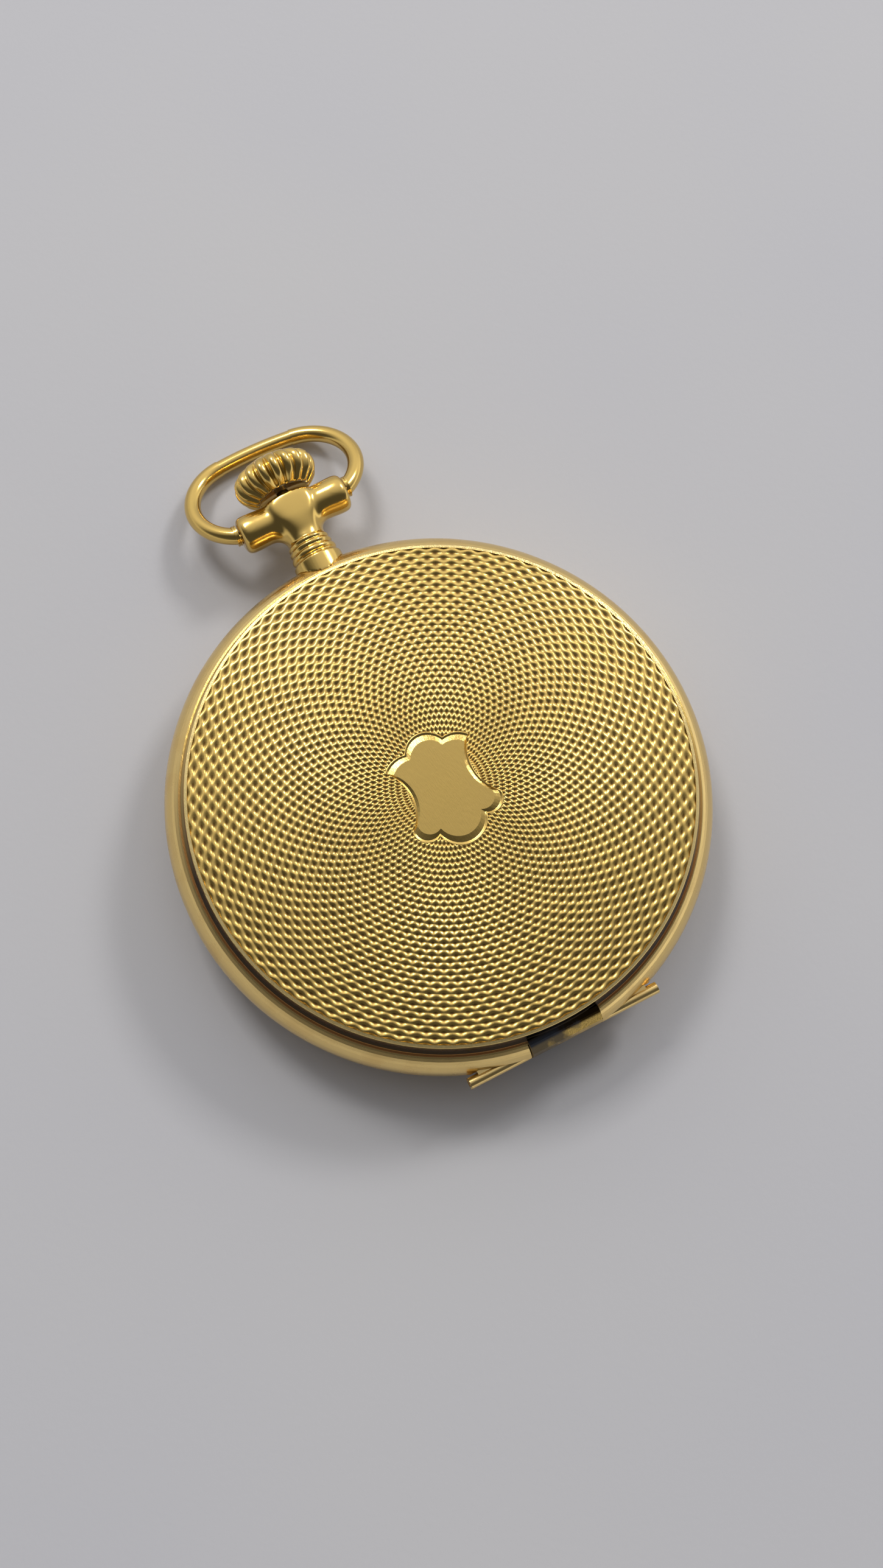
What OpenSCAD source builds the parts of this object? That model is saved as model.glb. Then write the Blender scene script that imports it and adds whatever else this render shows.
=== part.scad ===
// Full hunter pocket watch: hinged front and back covers, inner cover, bow, crown and a lever movement.
// Origin: centre of the flat on the back cover. +X to the pendant (3 o'clock), +Y to 12, +Z out of the front.

/* [Case] */
// Widest diameter of the case, over the band
case_d = 50.5; // [50:0.1:52]
// Height of the middle plane of the case over the resting flat
mid_z = 5.1; // [5:0.05:5.3]
// Height of each cover's bright ridge from the middle plane
ridge_h = 4.45; // [4.4:0.05:4.7]
// Distance of the ridge round each dome, in from the seam
ridge_in = 0.61; // [0.5:0.01:0.7]
// Rise of each dome from its ridge to its centre
dome_rise = 0.77; // [0.6:0.01:0.9]
// Width of the band's bulge outside the seams
bulge_w = 1.6; // [1.5:0.05:1.7]
// Height of each seam from the middle plane
seam_h = 2.5; // [2.4:0.05:2.6]
// Sheet thickness of the covers
cover_t = 0.45; // [0.4:0.05:0.5]
// Width of the band's face at each seam
face_w = 1; // [0.95:0.01:1.05]
// Width of the band's seats for the bezel and the inner cover
seat_w = 1.1; // [1.05:0.01:1.15]
// Width of the plain ridge round each engraved field
ridge_w = 0.2; // [0.15:0.01:0.3]
// Depth of the engraved fields under the ridges
cut_depth = 0.13; // [0.08:0.01:0.14]
// Length of the shield's flat face, towards the pendant
shield_l = 9.35; // [8:0.05:10]
// Radius of the plain round face in the middle of the back
rest_r = 4.5; // [4:0.1:6]

/* [Hinges] */
// Distance of the hinge axes in from the widest part of the case
hinge_in = 1; // [0.9:0.05:1.05]
// Height of each hinge axis from the middle plane
hinge_h = 0.62; // [0.6:0.01:0.68]
// Outside radius of the hinge tubes
knuckle_r = 0.53; // [0.48:0.01:0.55]
// Radius of the hinge pins
hinge_pin_r = 0.25; // [0.2:0.01:0.3]
// Half the length of each hinge
hinge_half = 9.5; // [9:0.1:9.8]
// Half the length of a cover's own knuckle
cover_knuckle_half = 3.5; // [3:0.1:3.8]
// Length of each inner cover knuckle
cuvette_knuckle = 1.25; // [1:0.05:1.4]

/* [Pendant, crown and bow] */
// Distance of the bow's pivot outside the case
bow_out = 5.68; // [5.5:0.05:6]
// Width over the pendant's two horns
horn_w = 11; // [10.6:0.1:11.4]
// Radius of a horn at its end
horn_r = 1.8; // [1.7:0.05:1.9]
// Radius of the bend from the neck into each horn
horn_bend = 3; // [2.7:0.1:3.1]
// Radius of the pendant's neck
neck_r = 1.9; // [1.85:0.05:2]
// Radius of the bore for the sleeve
pendant_bore_r = 1.3; // [1.2:0.02:1.36]
// Diameter of the bow's wire
bow_wire_d = 1.6; // [1.4:0.05:1.7]
// Diameter of the bow's wire at its top
bow_top_d = 1.48; // [1.3:0.02:1.5]
// Reach of the bow's wire centre from its pivot
bow_reach = 10.05; // [9.8:0.05:10.3]
// Radius of the bow's sides, at the wire centre
bow_side_r = 5.05; // [4.9:0.05:5.2]
// Half distance between the centres of the bow's sides
bow_side_w = 3.25; // [3.1:0.05:3.4]
// Angle of the bow below the middle plane as it lies
bow_tilt = 25; // [22:1:25]
// Radius of the bow's pivot studs
bow_pin_r = 0.45; // [0.4:0.01:0.5]
// Largest diameter of the crown
crown_d = 8.2; // [7.8:0.1:8.6]
// Distance of the crown's underside outside the case
crown_out = 7.8; // [7.75:0.05:8.05]
// Height of the crown from its underside to its top
crown_l = 3.95; // [3.6:0.05:4.2]
// Number of flutes round the crown
crown_flutes = 18; // [14:1:20]
// Radius of the winding stem
stem_r = 0.6; // [0.5:0.02:0.65]

/* [Movement] */
// Height of the main plate's train side
plate_z0 = 4.3; // [4.25:0.01:4.35]
// Height of the main plate's dial side
plate_z1 = 6.7; // [6.65:0.01:6.75]
// Radius of the bridges
bridge_r = 20.8; // [20.6:0.05:21]
// Height of the bridges' outer faces
bridge_z = 2.0; // [1.98:0.01:2.03]
// Thickness of the bridges
bridge_t = 0.9; // [0.85:0.01:0.92]
// Distance of the fourth wheel from the centre
fourth_y = 11; // [10.9:0.05:11.1]
// Radius of the balance rim
balance_r = 6.7; // [6.4:0.05:6.72]
// Radius of the pivots of the train
pivot_r = 0.14; // [0.1:0.01:0.16]
// Radius of the jewels
jewel_r = 0.75; // [0.6:0.05:0.85]
// Radius of the dial
dial_r = 20.9; // [20.5:0.05:20.95]
// Thickness of the dial
dial_t = 0.3; // [0.25:0.01:0.32]

/* [Clearances] */
// Radial running clearance in hinges and pivots
run_gap = 0.03; // [0.02:0.005:0.04]
// Radial clearance where a piece drops into another
fit_gap = 0.05; // [0.03:0.01:0.07]
// End clearance between neighbouring hinge knuckles
end_gap = 0.08; // [0.05:0.01:0.12]

/* [Hidden] */
$fn = 72;
case_r = case_d / 2;
seam_r = case_r - bulge_w;
ridge_r = seam_r - ridge_in;
field_r = ridge_r - ridge_w;
step_r = seam_r - face_w;
band_bore_r = step_r - seat_w;
hinge_x = case_r - hinge_in;
bow_x = case_r + bow_out;
crown_x = case_r + crown_out;
bore_x0 = band_bore_r - 3.5;

// The movement is drawn for a plate of radius plate_r and made larger or smaller to fit the band
plate_r = 21.45;
fit_k = (band_bore_r - 2 * fit_gap) / plate_r;
stem_x1 = mov_x(crown_x + 2.2);
front_z = mid_z + seam_h;
back_z = mid_z - seam_h;
ridge_round = 0.12;
dome_r = (ridge_r * ridge_r + dome_rise * dome_rise) / (2 * dome_rise);
step_h = 0.5;
bezel_seat_r = step_r - fit_gap;
glass_r = step_r - 1.05;
stop_r = dial_r * fit_k + 2 * fit_gap;
barrel_bulge = case_r - seam_r;
band_arc_r = (seam_h * seam_h + barrel_bulge * barrel_bulge) / (2 * barrel_bulge);
notch_x = hinge_x - knuckle_r - 2 * fit_gap - 0.06;
front_axis_z = mid_z + hinge_h;
back_axis_z = mid_z - hinge_h;
horn_y = horn_w / 2;
bend_y = 0.2;
stem_bore_r = stem_r + fit_gap;
back_ridge_h = mid_z - dome_at(rest_r);
shield_k = 1.17;
channel_z0 = case_z(plate_z0) + 0.35;
channel_z1 = mid_z + 1.3;
nose_r = step_r + 0.4;
lock_slot_a = 24;
case_screw_angles = [58, 205];
case_screw_r = plate_r - 0.8;
case_screw_head = 1.3;
dial_feet = [75, 160, 305];
dial_foot_at = 17.5;
bridge_screw_at = [polar(19.6, 118), polar(19.6, 14), polar(19.6, -28), polar(19.6, -112), [-13.4, 6.2]];
bridge_screw_r = 0.4;
bridge_screw_head = 0.85;
slot_w = 0.22;
rim_in = 18.75;
barrel_r = 7.9;
barrel_z0 = 3.5;
barrel_z1 = 5.6;

// Train: teeth, modules and the places that follow from them
barrel_teeth = 84;
centre_leaves = 12;
barrel_m = 0.2;
centre_teeth = 80;
third_leaves = 10;
centre_m = 0.16;
third_teeth = 75;
fourth_leaves = 10;
third_m = 0.15;
fourth_teeth = 80;
escape_leaves = 8;
fourth_m = 0.13;
escape_teeth = 15;
escape_r = 2.6;
barrel_dist = (barrel_teeth + centre_leaves) * barrel_m / 2;
centre_dist = (centre_teeth + third_leaves) * centre_m / 2;
third_dist = (third_teeth + fourth_leaves) * third_m / 2;
escape_dist = (fourth_teeth + escape_leaves) * fourth_m / 2;
barrel_at = barrel_dist * [cos(62), sin(62)];
fourth_at = [0, -fourth_y];
third_down = (centre_dist * centre_dist - third_dist * third_dist + fourth_y * fourth_y) / (2 * fourth_y);
third_at = [sqrt(centre_dist * centre_dist - third_down * third_down), -third_down];
balance_at = [-12.6, -4.6];
pallet_dist = escape_r / cos(30);
fork_dist = 5.6;
lever_line = pallet_dist + fork_dist;
to_balance = balance_at - fourth_at;
balance_dist = norm(to_balance);
escape_along = (pow(escape_dist, 2) - pow(lever_line, 2) + pow(balance_dist, 2)) / (2 * balance_dist);
escape_off = sqrt(pow(escape_dist, 2) - pow(escape_along, 2));
balance_dir = to_balance / balance_dist;
escape_at = fourth_at + escape_along * balance_dir + escape_off * [-balance_dir[1], balance_dir[0]];
lever_angle = atan2(balance_at[1] - escape_at[1], balance_at[0] - escape_at[0]);
pallet_at = escape_at + pallet_dist * [cos(lever_angle), sin(lever_angle)];
crown_wheel_at = [13, 0];
crown_teeth = 30;
ratchet_teeth = 60;
ratchet_m = 2 * norm(barrel_at - crown_wheel_at) / (crown_teeth + ratchet_teeth);
contrate_r = 3.3;
winding_teeth = 12;
winding_m = 2 * contrate_r / crown_teeth;
winding_x = crown_wheel_at[0] + contrate_r;
cannon_leaves = 12;
minute_teeth = 36;
minute_leaves = 10;
hour_teeth = 40;
cannon_m = 0.15;
motion_dist = (cannon_leaves + minute_teeth) * cannon_m / 2;
hour_m = 2 * motion_dist / (minute_leaves + hour_teeth);
minute_at = motion_dist * [cos(20), sin(20)];
setting_teeth = 30;
setting_dist = (minute_teeth + setting_teeth) * cannon_m / 2;
setting_at = minute_at + setting_dist * [cos(-7), sin(-7)];
click_at = barrel_at + polar(10.9, 148);
hair_turns = 5.5;
hair_pitch = 0.5;
hair_strip = 0.08;
hair_r = 0.64;
ratchet_z = bridge_z + 0.05;
wheel_z = bridge_z + bridge_t + 0.08;
train_z = bridge_z + bridge_t;
motion_z = plate_z1 - 0.62;
dial_z = plate_z1 + 0.02;
dial_top = dial_z + dial_t;
gold = "#d8ad55";
pale_gold = "#e6cd92";
steel = "#c9ccd2";
blue_steel = "#2b3f86";
gilt = "#cfa655";
nickel = "#c8c6bf";
ruby = "#c0264e";

// Points of an arc about c from angle a0 to a1
function arc(c, r, a0, a1, n) = [for (i = [0 : n]) c + r * [cos(a0 + (a1 - a0) * i / n),
    sin(a0 + (a1 - a0) * i / n)]];
function polar(r, a) = [r * cos(a), r * sin(a)];

// Height in the case of a height z of the movement, and length in the movement of a length x of the case
function case_z(z) = mid_z + (z - mid_z) * fit_k;
function mov_x(x) = x / fit_k;

// Height of the dome's face over the ridge at radius r
function dome_at(r) = sqrt(dome_r * dome_r - r * r) - (dome_r - dome_rise);

// Outline of a wheel with rounded watch teeth, a tooth centred on the phase angle
function teeth(n, m, add, ded, share, phase) = [
    for (i = [0 : n - 1])
        let (
            a = phase + i * 360 / n,
            half = share * 180 / n,
            r = n * m / 2
        )
        each [
            polar(r - ded * m, a - half * 1.05),
            polar(r, a - half),
            polar(r + add * m * 0.75, a - half * 0.55),
            polar(r + add * m * 0.75, a + half * 0.55),
            polar(r, a + half),
            polar(r - ded * m, a + half * 1.05)
        ]
];

module at(p) {
    translate([p[0], p[1], 0]) children();
}

// Fits the movement's pieces to the band
module movement() {
    translate([0, 0, mid_z * (1 - fit_k)]) scale(fit_k) children();
}

module rod(r, z0, z1) {
    translate([0, 0, z0]) cylinder(h = z1 - z0, r = r);
}

module tube(r, bore, z0, z1) {
    difference() {
        rod(r, z0, z1);
        rod(bore, z0 - 1, z1 + 1);
    }
}

// A cylinder along Y, centred on y = 0
module y_rod(r, y0, y1) {
    translate([0, y0, 0]) rotate([-90, 0, 0]) cylinder(h = y1 - y0, r = r);
}

// A cylinder along X at the height of the stem
module x_rod(r, x0, x1) {
    translate([x0, 0, mid_z]) rotate([0, 90, 0]) cylinder(h = x1 - x0, r = r);
}

// A revolve about the stem's axis: points are [x, radius]
module x_turned(points) {
    translate([0, 0, mid_z]) rotate([0, 90, 0]) rotate_extrude() polygon([for (p = points) [p[1], p[0]]]);
}

// A toothed wheel with crossings, cut out between rim and hub
module train_wheel(n, m, phase, arms, hub, z0, z1) {
    rim = n * m / 2 - 3.6 * m - 0.25;
    spoke = 0.55;
    difference() {
        translate([0, 0, z0]) linear_extrude(z1 - z0) polygon(teeth(n, m, 1.25, 1.3, 0.46, phase));
        translate([0, 0, z0 - 1]) linear_extrude(z1 - z0 + 2) difference() {
            circle(r = rim);
            circle(r = hub);
            for (i = [0 : arms - 1]) rotate(i * 360 / arms) translate([0, -spoke / 2])
                square([rim + 1, spoke]);
        }
    }
}

module pinion(n, m, phase, z0, z1) {
    translate([0, 0, z0]) linear_extrude(z1 - z0) polygon(teeth(n, m, 0.85, 1.45, 0.36, phase));
}

// A flat spiral ribbon; the outline goes out on one edge and back on the other
module spiral(r0, turns, pitch, strip, z0, z1) {
    steps = turns * 28;
    translate([0, 0, z0]) linear_extrude(z1 - z0) polygon(concat(
        [for (i = [0 : steps]) polar(r0 + pitch * i / 28, i * 360 / 28)],
        [for (i = [steps : -1 : 0]) polar(r0 + strip + pitch * i / 28, i * 360 / 28)]
    ));
}

// Case

// Half profile of a cover with its ridge at height h: plain middle, engraved field, ridge, wall, lip and inside
module cover_profile(h, plain_r) {
    z1 = mid_z + h;
    wall_c = ridge_r + ridge_round;
    polygon(concat(
        plain_r > 0 ? [[0, z1 + dome_at(plain_r)], [plain_r, z1 + dome_at(plain_r)]] : [],
        [for (i = [0 : 24]) let (r = plain_r + (field_r - plain_r) * i / 24) [r,
            z1 + dome_at(r) - cut_depth]],
        [[field_r, z1 + dome_at(field_r)]],
        arc([ridge_r, z1 - ridge_round], ridge_round, 60, 0, 3),
        [[wall_c + 0.05, z1 - 0.45], [wall_c + 0.16, front_z + 0.75], [seam_r - 0.06, front_z + 0.32],
            [seam_r + 0.12, front_z + 0.26], [seam_r + 0.12, front_z + 0.12], [seam_r, front_z],
            [step_r + 2 * fit_gap, front_z], [step_r + 2 * fit_gap, front_z + 0.5],
            [wall_c + 0.1 - cover_t, front_z + 1.0], [wall_c - cover_t, z1 - cover_t - 0.2]],
        [for (i = [24 : -1 : 0]) let (r = (ridge_r - cover_t) * i / 24) [r,
            z1 - cover_t + dome_at(r) * 0.98]]
    ));
}

// The strap that joins a cover's rim to its knuckle, drawn in X and Z above the middle plane
module cover_strap() {
    x0 = -hinge_x - knuckle_r;
    x1 = -notch_x - 2 * fit_gap;
    rotate([90, 0, 0]) linear_extrude(2 * cover_knuckle_half, center = true) polygon([
        [x0 + 0.03, front_axis_z], [x1, front_axis_z], [x1, front_z + 0.02],
            [-seam_r + 0.5, front_z + 0.02],
        [-seam_r + 0.35, front_z + 0.6], [-seam_r - 0.1, front_z + 0.5], [x0 + 0.2, front_z - 0.1],
        [x0 + 0.03, front_z - 0.6]
    ]);
}

module cover_shell(h, plain_r) {
    rotate_extrude($fn = 128) cover_profile(h, plain_r);
    intersection() {
        cover_strap();
        translate([0, 0, front_z - 20]) cylinder(h = 40, r = case_r + 0.2);
    }
    translate([-hinge_x, 0, front_axis_z]) y_rod(knuckle_r, -cover_knuckle_half, cover_knuckle_half);
}

// Bore through the knuckle on the hinge axis above the middle plane
module hinge_bore() {
    translate([-hinge_x, 0, front_axis_z]) y_rod(hinge_pin_r + run_gap, -case_r, case_r);
}

// Outline of the shield's flat face: scallops towards the pendant, lobes towards the hinge
module shield_area() {
    half = concat(
        arc([2.805, 0], 1.745, 0, 66.5, 6),
        arc([1.533, 2.062], 2.02, -4.5, 47.4, 6),
        arc([0.453, 6.272], 3.66, -55.4, -129, 10),
        arc([-2.305, 2.607], 1.148, 84.7, 211.9, 9),
        arc([-2.724, 0], 2.076, 116, 180, 6)
    );
    scale(shield_l / 9.35) polygon(concat(half,
        [for (i = [len(half) - 2 : -1 : 1]) [half[i][0], -half[i][1]]]));
}

// The shield stands on the engraved field, its edge bevelled down to it
module shield() {
    top = mid_z + ridge_h + dome_rise;
    h = cut_depth + 0.06;
    translate([0, 0, top]) mirror([0, 0, 1]) linear_extrude(h, scale = shield_k) shield_area();
}

module front_cover() {
    color(gold) difference() {
        union() {
            cover_shell(ridge_h, 0);
            shield();
        }
        hinge_bore();
    }
}

module flip_z() {
    translate([0, 0, 2 * mid_z]) mirror([0, 0, 1]) children();
}

module back_cover() {
    color(gold) difference() {
        flip_z() cover_shell(back_ridge_h, rest_r);
        flip_z() hinge_bore();
    }
}

module front_hinge_pin() {
    color(steel) translate([-hinge_x, 0, front_axis_z])
        y_rod(hinge_pin_r, -hinge_half + 0.15, hinge_half - 0.15);
}

module back_hinge_pin() {
    color(steel) translate([-hinge_x, 0, back_axis_z])
        y_rod(hinge_pin_r, -hinge_half + 0.15, hinge_half - 0.15);
}

function band_arc() = arc([case_r - band_arc_r, mid_z], band_arc_r,
    -asin(seam_h / band_arc_r), asin(seam_h / band_arc_r), 20);

module band_profile() {
    polygon(concat(
        band_arc(),
        [[step_r, front_z], [step_r, front_z - step_h], [stop_r, front_z - step_h],
            [stop_r, case_z(plate_z1) + 0.02],
            [band_bore_r, case_z(plate_z1) + 0.02], [band_bore_r, channel_z1],
                [band_bore_r + 1, channel_z1],
            [band_bore_r + 1, channel_z0], [band_bore_r, channel_z0], [band_bore_r, back_z + step_h],
            [step_r, back_z + step_h], [step_r, back_z]]
    ));
}

module band_knuckles(h0, z) {
    for (s = [-1, 1]) {
        translate([-hinge_x, 0, z]) y_rod(knuckle_r, s > 0 ? h0 : -hinge_half, s > 0 ? hinge_half : -h0);
        translate([-hinge_x, s > 0 ? h0 : -hinge_half + 1, z - knuckle_r * 0.8])
            cube([1.6, hinge_half - h0 - 1, knuckle_r * 1.6]);
    }
}

module case_band() {
    near = cover_knuckle_half + end_gap;
    far = near + cuvette_knuckle + end_gap;
    color(pale_gold) difference() {
        union() {
            difference() {
                rotate_extrude($fn = 128) band_profile();
                translate([-case_r - 1, -hinge_half - end_gap, mid_z - hinge_h - knuckle_r - fit_gap])
                    cube([case_r + 1 - notch_x, 2 * (hinge_half + end_gap),
                        2 * (hinge_h + knuckle_r + fit_gap)]);
            }
            band_knuckles(near, front_axis_z);
            band_knuckles(far, back_axis_z);
        }
        translate([-case_r - 1, -near, 0]) cube([case_r + 1 - notch_x, 2 * near, 2 * mid_z]);
        translate([-case_r - 1, -far, 0]) cube([case_r + 1 - notch_x, 2 * far, mid_z]);
        for (s = [-1, 1]) translate([-case_r - 1, s * (near + far) / 2 - (far - near) / 2, 0])
            cube([case_r + 1 - band_bore_r, far - near, back_z + step_h + 0.02]);
        hinge_bore();
        flip_z() hinge_bore();
        x_rod(pendant_bore_r + 0.5, bore_x0, case_r - 1.2);
        x_rod(pendant_bore_r, bore_x0, case_r + 1);
        movement() case_screw_pockets();
        rotate(lock_slot_a) {
            translate([band_bore_r - 0.5, -1.1, channel_z0 + 0.3])
                cube([nose_r + 0.05 - band_bore_r + 0.5, 2.2, 2]);
            translate([step_r - 0.05, -1.1, mid_z]) cube([nose_r + 0.1 - step_r, 2.2, 4]);
        }
    }
}

// Room for the case screws' heads, from the train side
module case_screw_pockets() {
    for (a = case_screw_angles) rotate(a) translate([case_screw_r, 0, 0])
        rod(case_screw_head + fit_gap, 1, plate_z0);
}

// The pendant's two horns, with the bends that carry them from the neck
module horns() {
    lip = 0.5;
    half = concat(
        [[horn_r - 0.13, bend_y + horn_bend - 0.4], [horn_r - 0.1, bend_y + horn_bend + 0.5],
            [horn_r - 0.02, horn_y - lip - 0.5]],
        arc([horn_r - lip, horn_y - lip], lip, 0, 90, 5)
    );
    last = len(half) - 1;
    for (side = [0, 1]) mirror([0, side, 0])
        translate([bow_x - horn_bend, bend_y + horn_bend, mid_z]) rotate(-90)
        rotate_extrude(angle = 90, $fn = 96) translate([horn_bend, 0]) circle(r = horn_r - 0.2);
    translate([bow_x, 0, mid_z]) rotate([-90, 0, 0]) rotate_extrude() polygon(concat(
        [[0, -horn_y]],
        [for (i = [last : -1 : 0]) [half[i][0], -half[i][1]]],
        [[horn_r - 0.08, 0]],
        half,
        [[0, horn_y]]
    ));
}

module pendant() {
    x0 = case_r - 2.4;
    saddle_x = case_r + 0.75;
    top_x = crown_x - 0.5;
    color(pale_gold) difference() {
        union() {
            difference() {
                x_turned(concat(
                    [[x0, 0], [x0, 2.42], [saddle_x - 0.3, 2.42]],
                    arc([saddle_x + 0.38, neck_r], 0.38, 180, 0, 6),
                    arc([saddle_x + 1.06, neck_r], 0.26, 180, 0, 6),
                    arc([saddle_x + 1.6, neck_r - 0.05], 0.22, 180, 0, 6),
                    [[bow_x - 2.4, neck_r], [bow_x - 1.5, neck_r + 0.3], [bow_x - 0.7, neck_r + 0.65],
                        [bow_x + 0.2, neck_r + 0.85], [bow_x + 1, neck_r + 0.85],
                        [top_x - 0.35, neck_r + 0.75], [top_x - 0.12, neck_r + 0.6],
                        [top_x, neck_r + 0.35], [top_x, 0]]
                ));
                rotate_extrude($fn = 128) polygon(concat([[0, back_z]], band_arc(), [[0, front_z]]));
            }
            horns();
        }
        x_rod(pendant_bore_r, bore_x0, crown_x + 2);
        for (s = [-1, 1]) translate([bow_x, 0, mid_z])
            y_rod(bow_pin_r + run_gap, s > 0 ? horn_y - 1.6 : -horn_y - 1,
                s > 0 ? horn_y + 1 : -horn_y + 1.6);
    }
}

module pendant_sleeve() {
    color(steel) difference() {
        x_rod(pendant_bore_r - run_gap / 2, case_r - 1, crown_x - 0.9);
        x_rod(stem_bore_r * fit_k, bore_x0, crown_x + 2);
    }
}

// One side of the bow in its own plane: X outward from the pivot, Y to the side
module bow_half() {
    side_x = bow_reach - bow_side_r - 0.2;
    top_r = (pow(bow_reach - side_x, 2) + pow(bow_side_w, 2) - pow(bow_side_r, 2))
        / (2 * (bow_reach - side_x - bow_side_r));
    top_a = asin(bow_side_w / (top_r - bow_side_r));
    face_y = horn_y + 0.1;
    end_a = asin((face_y - bow_side_w - 0.5) / bow_side_r);
    wire_x = side_x - sqrt(pow(bow_side_r, 2) - pow(face_y + 0.2 - bow_side_w, 2));
    difference() {
        union() {
            translate([bow_reach - top_r, 0, 0]) rotate_extrude(angle = top_a + 0.6, $fn = 96)
                translate([top_r, 0]) circle(d = bow_top_d);
            translate([side_x, bow_side_w, 0]) rotate(top_a)
                rotate_extrude(angle = 180 - end_a - top_a, $fn = 96)
                translate([bow_side_r, 0]) circle(d = bow_wire_d);
        }
        translate([-bow_reach / 2, face_y - 3, -2]) cube([bow_reach, 3, 4]);
    }
    translate([wire_x, 0, 0]) {
        y_rod(bow_wire_d * 0.64, face_y, face_y + 0.14);
        y_rod(bow_wire_d * 0.57, face_y + 0.13, face_y + 0.24);
        y_rod(bow_wire_d * 0.64, face_y + 0.23, face_y + 0.36);
    }
    y_rod(bow_pin_r, horn_y - 1.45, horn_y + 0.4);
}

module bow() {
    color(gold) translate([bow_x, 0, mid_z]) rotate([0, bow_tilt, 0]) {
        bow_half();
        mirror([0, 1, 0]) bow_half();
    }
}

module crown() {
    r = crown_d / 2;
    top = crown_x + crown_l;
    color(gold) difference() {
        x_turned([[crown_x, 0], [crown_x, 2.75], [crown_x + 0.25, 3.05], [crown_x + 0.8, r - 0.42],
            [crown_x + 1.4, r - 0.08], [crown_x + 1.95, r], [crown_x + 2.5, r - 0.1],
                [crown_x + 3, r - 0.55],
            [crown_x + 3.3, r - 1.1], [crown_x + 3.42, r - 1.45], [crown_x + 3.6, r - 1.6],
                [top - 0.15, 1.6],
            [top - 0.04, 0.8], [top, 0]]);
        for (i = [0 : crown_flutes - 1]) translate([0, 0, mid_z]) rotate([i * 360 / crown_flutes, 0, 0])
            translate([crown_x - 0.6, 0, r + 0.03]) rotate([0, 84, 0]) translate([0.4, 0, 0])
                cylinder(h = 3.9, r = 0.42, $fn = 24);
        x_rod(neck_r + 0.55, crown_x - 1, crown_x + 0.35);
        x_rod(stem_r * fit_k + run_gap / 2, crown_x - 1, crown_x + 2.2);
    }
}

module stem() {
    color(steel) movement() {
        x_rod(stem_r, winding_x + 1.2, stem_x1);
        x_rod(stem_r * 0.85, 12.2, winding_x + 1.3);
        x_rod(stem_r * 0.6, 9.9, 12.3);
    }
}

// Springs lie in the channel of the band
module channel_spring(a0, a1) {
    translate([0, 0, channel_z0 + fit_gap]) rotate(a0) rotate_extrude(angle = a1 - a0, $fn = 128)
        translate([band_bore_r + 0.35, 0]) square([0.45, channel_z1 - channel_z0 - 2 * fit_gap]);
}

module lift_spring() {
    color(steel) channel_spring(112, 168);
}

module lock_spring() {
    color(steel) {
        difference() {
            channel_spring(-34, 34);
            x_rod(stem_r * fit_k + 0.6, bore_x0, case_r);
        }
        rotate(lock_slot_a) {
            translate([band_bore_r + 0.35, -0.9, channel_z1 - 0.8])
                cube([nose_r - band_bore_r - 0.35, 1.8, 1.0]);
            translate([step_r + 0.03, -0.9, channel_z1 - 0.2])
                cube([nose_r - step_r - 0.03, 1.8, front_z - channel_z1 + 0.15]);
        }
    }
}

module case_screws() {
    color(blue_steel) movement() for (a = case_screw_angles) rotate(a) translate([case_screw_r, 0, 0])
        difference() {
        union() {
            rod(case_screw_head, plate_z0 - 0.5, plate_z0);
            rod(0.4, plate_z0 - 0.1, plate_z0 + 1.2);
        }
        translate([-2, -slot_w / 2, plate_z0 - 1]) cube([4, slot_w, 0.65]);
    }
}

module cuvette() {
    near = cover_knuckle_half + end_gap * 2;
    z0 = back_z - 1.35;
    color(gold) difference() {
        union() {
            difference() {
                cuvette_dish(z0);
                translate([-case_r, -case_r, back_z - 0.05]) cube([case_r - step_r + 3.15, case_d, 3]);
            }
            for (s = [-1, 1]) translate([0, s * (near + cuvette_knuckle / 2), 0]) {
                translate([-hinge_x, 0, back_axis_z])
                    y_rod(knuckle_r, -cuvette_knuckle / 2 + 0.02, cuvette_knuckle / 2 - 0.02);
                rotate([90, 0, 0]) linear_extrude(cuvette_knuckle - 0.04, center = true) polygon([
                    [-hinge_x - knuckle_r * 0.8, back_axis_z], [-hinge_x + knuckle_r * 0.95, back_axis_z],
                    [-hinge_x + knuckle_r * 0.95, back_z + 0.42], [0.9 - step_r, back_z + 0.42],
                        [0.9 - step_r, back_z - 0.4],
                    [0.6 - step_r, back_z - 0.4], [0.6 - step_r, back_z + 0.08],
                        [-hinge_x + 0.1, back_z + 0.08],
                    [-hinge_x - knuckle_r * 0.8, back_z + 0.5]
                ]);
            }
        }
        flip_z() hinge_bore();
    }
}

module cuvette_dish(z0) {
    rotate_extrude($fn = 128) polygon([[0, z0 - 0.12], [step_r * 0.53, z0 - 0.08],
        [step_r - 1.85, z0 + 0.05], [step_r - 0.75, z0 + 0.2],
        [step_r - fit_gap, z0 + 0.75], [step_r - fit_gap, back_z + step_h - 0.02],
        [step_r - 0.4, back_z + step_h - 0.02], [step_r - 0.4, z0 + 0.85], [step_r - 0.95, z0 + 0.5],
        [step_r - 1.85, z0 + 0.35], [step_r * 0.53, z0 + 0.24], [0, z0 + 0.2]]);
}

module bezel() {
    z0 = front_z - step_h + 0.02;
    color(gold) rotate_extrude($fn = 128)
        polygon([[stop_r + 0.1, z0], [bezel_seat_r, z0], [bezel_seat_r, front_z + 0.35],
        [bezel_seat_r - 0.25, front_z + 0.75], [glass_r + 0.2, front_z + 1.02],
            [glass_r - 0.25, front_z + 1.05],
        [glass_r - 0.3, front_z + 0.95], [glass_r + fit_gap, front_z + 0.8],
            [glass_r + fit_gap, front_z + 0.42],
        [stop_r + 0.1, front_z + 0.42]]);
}

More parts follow.
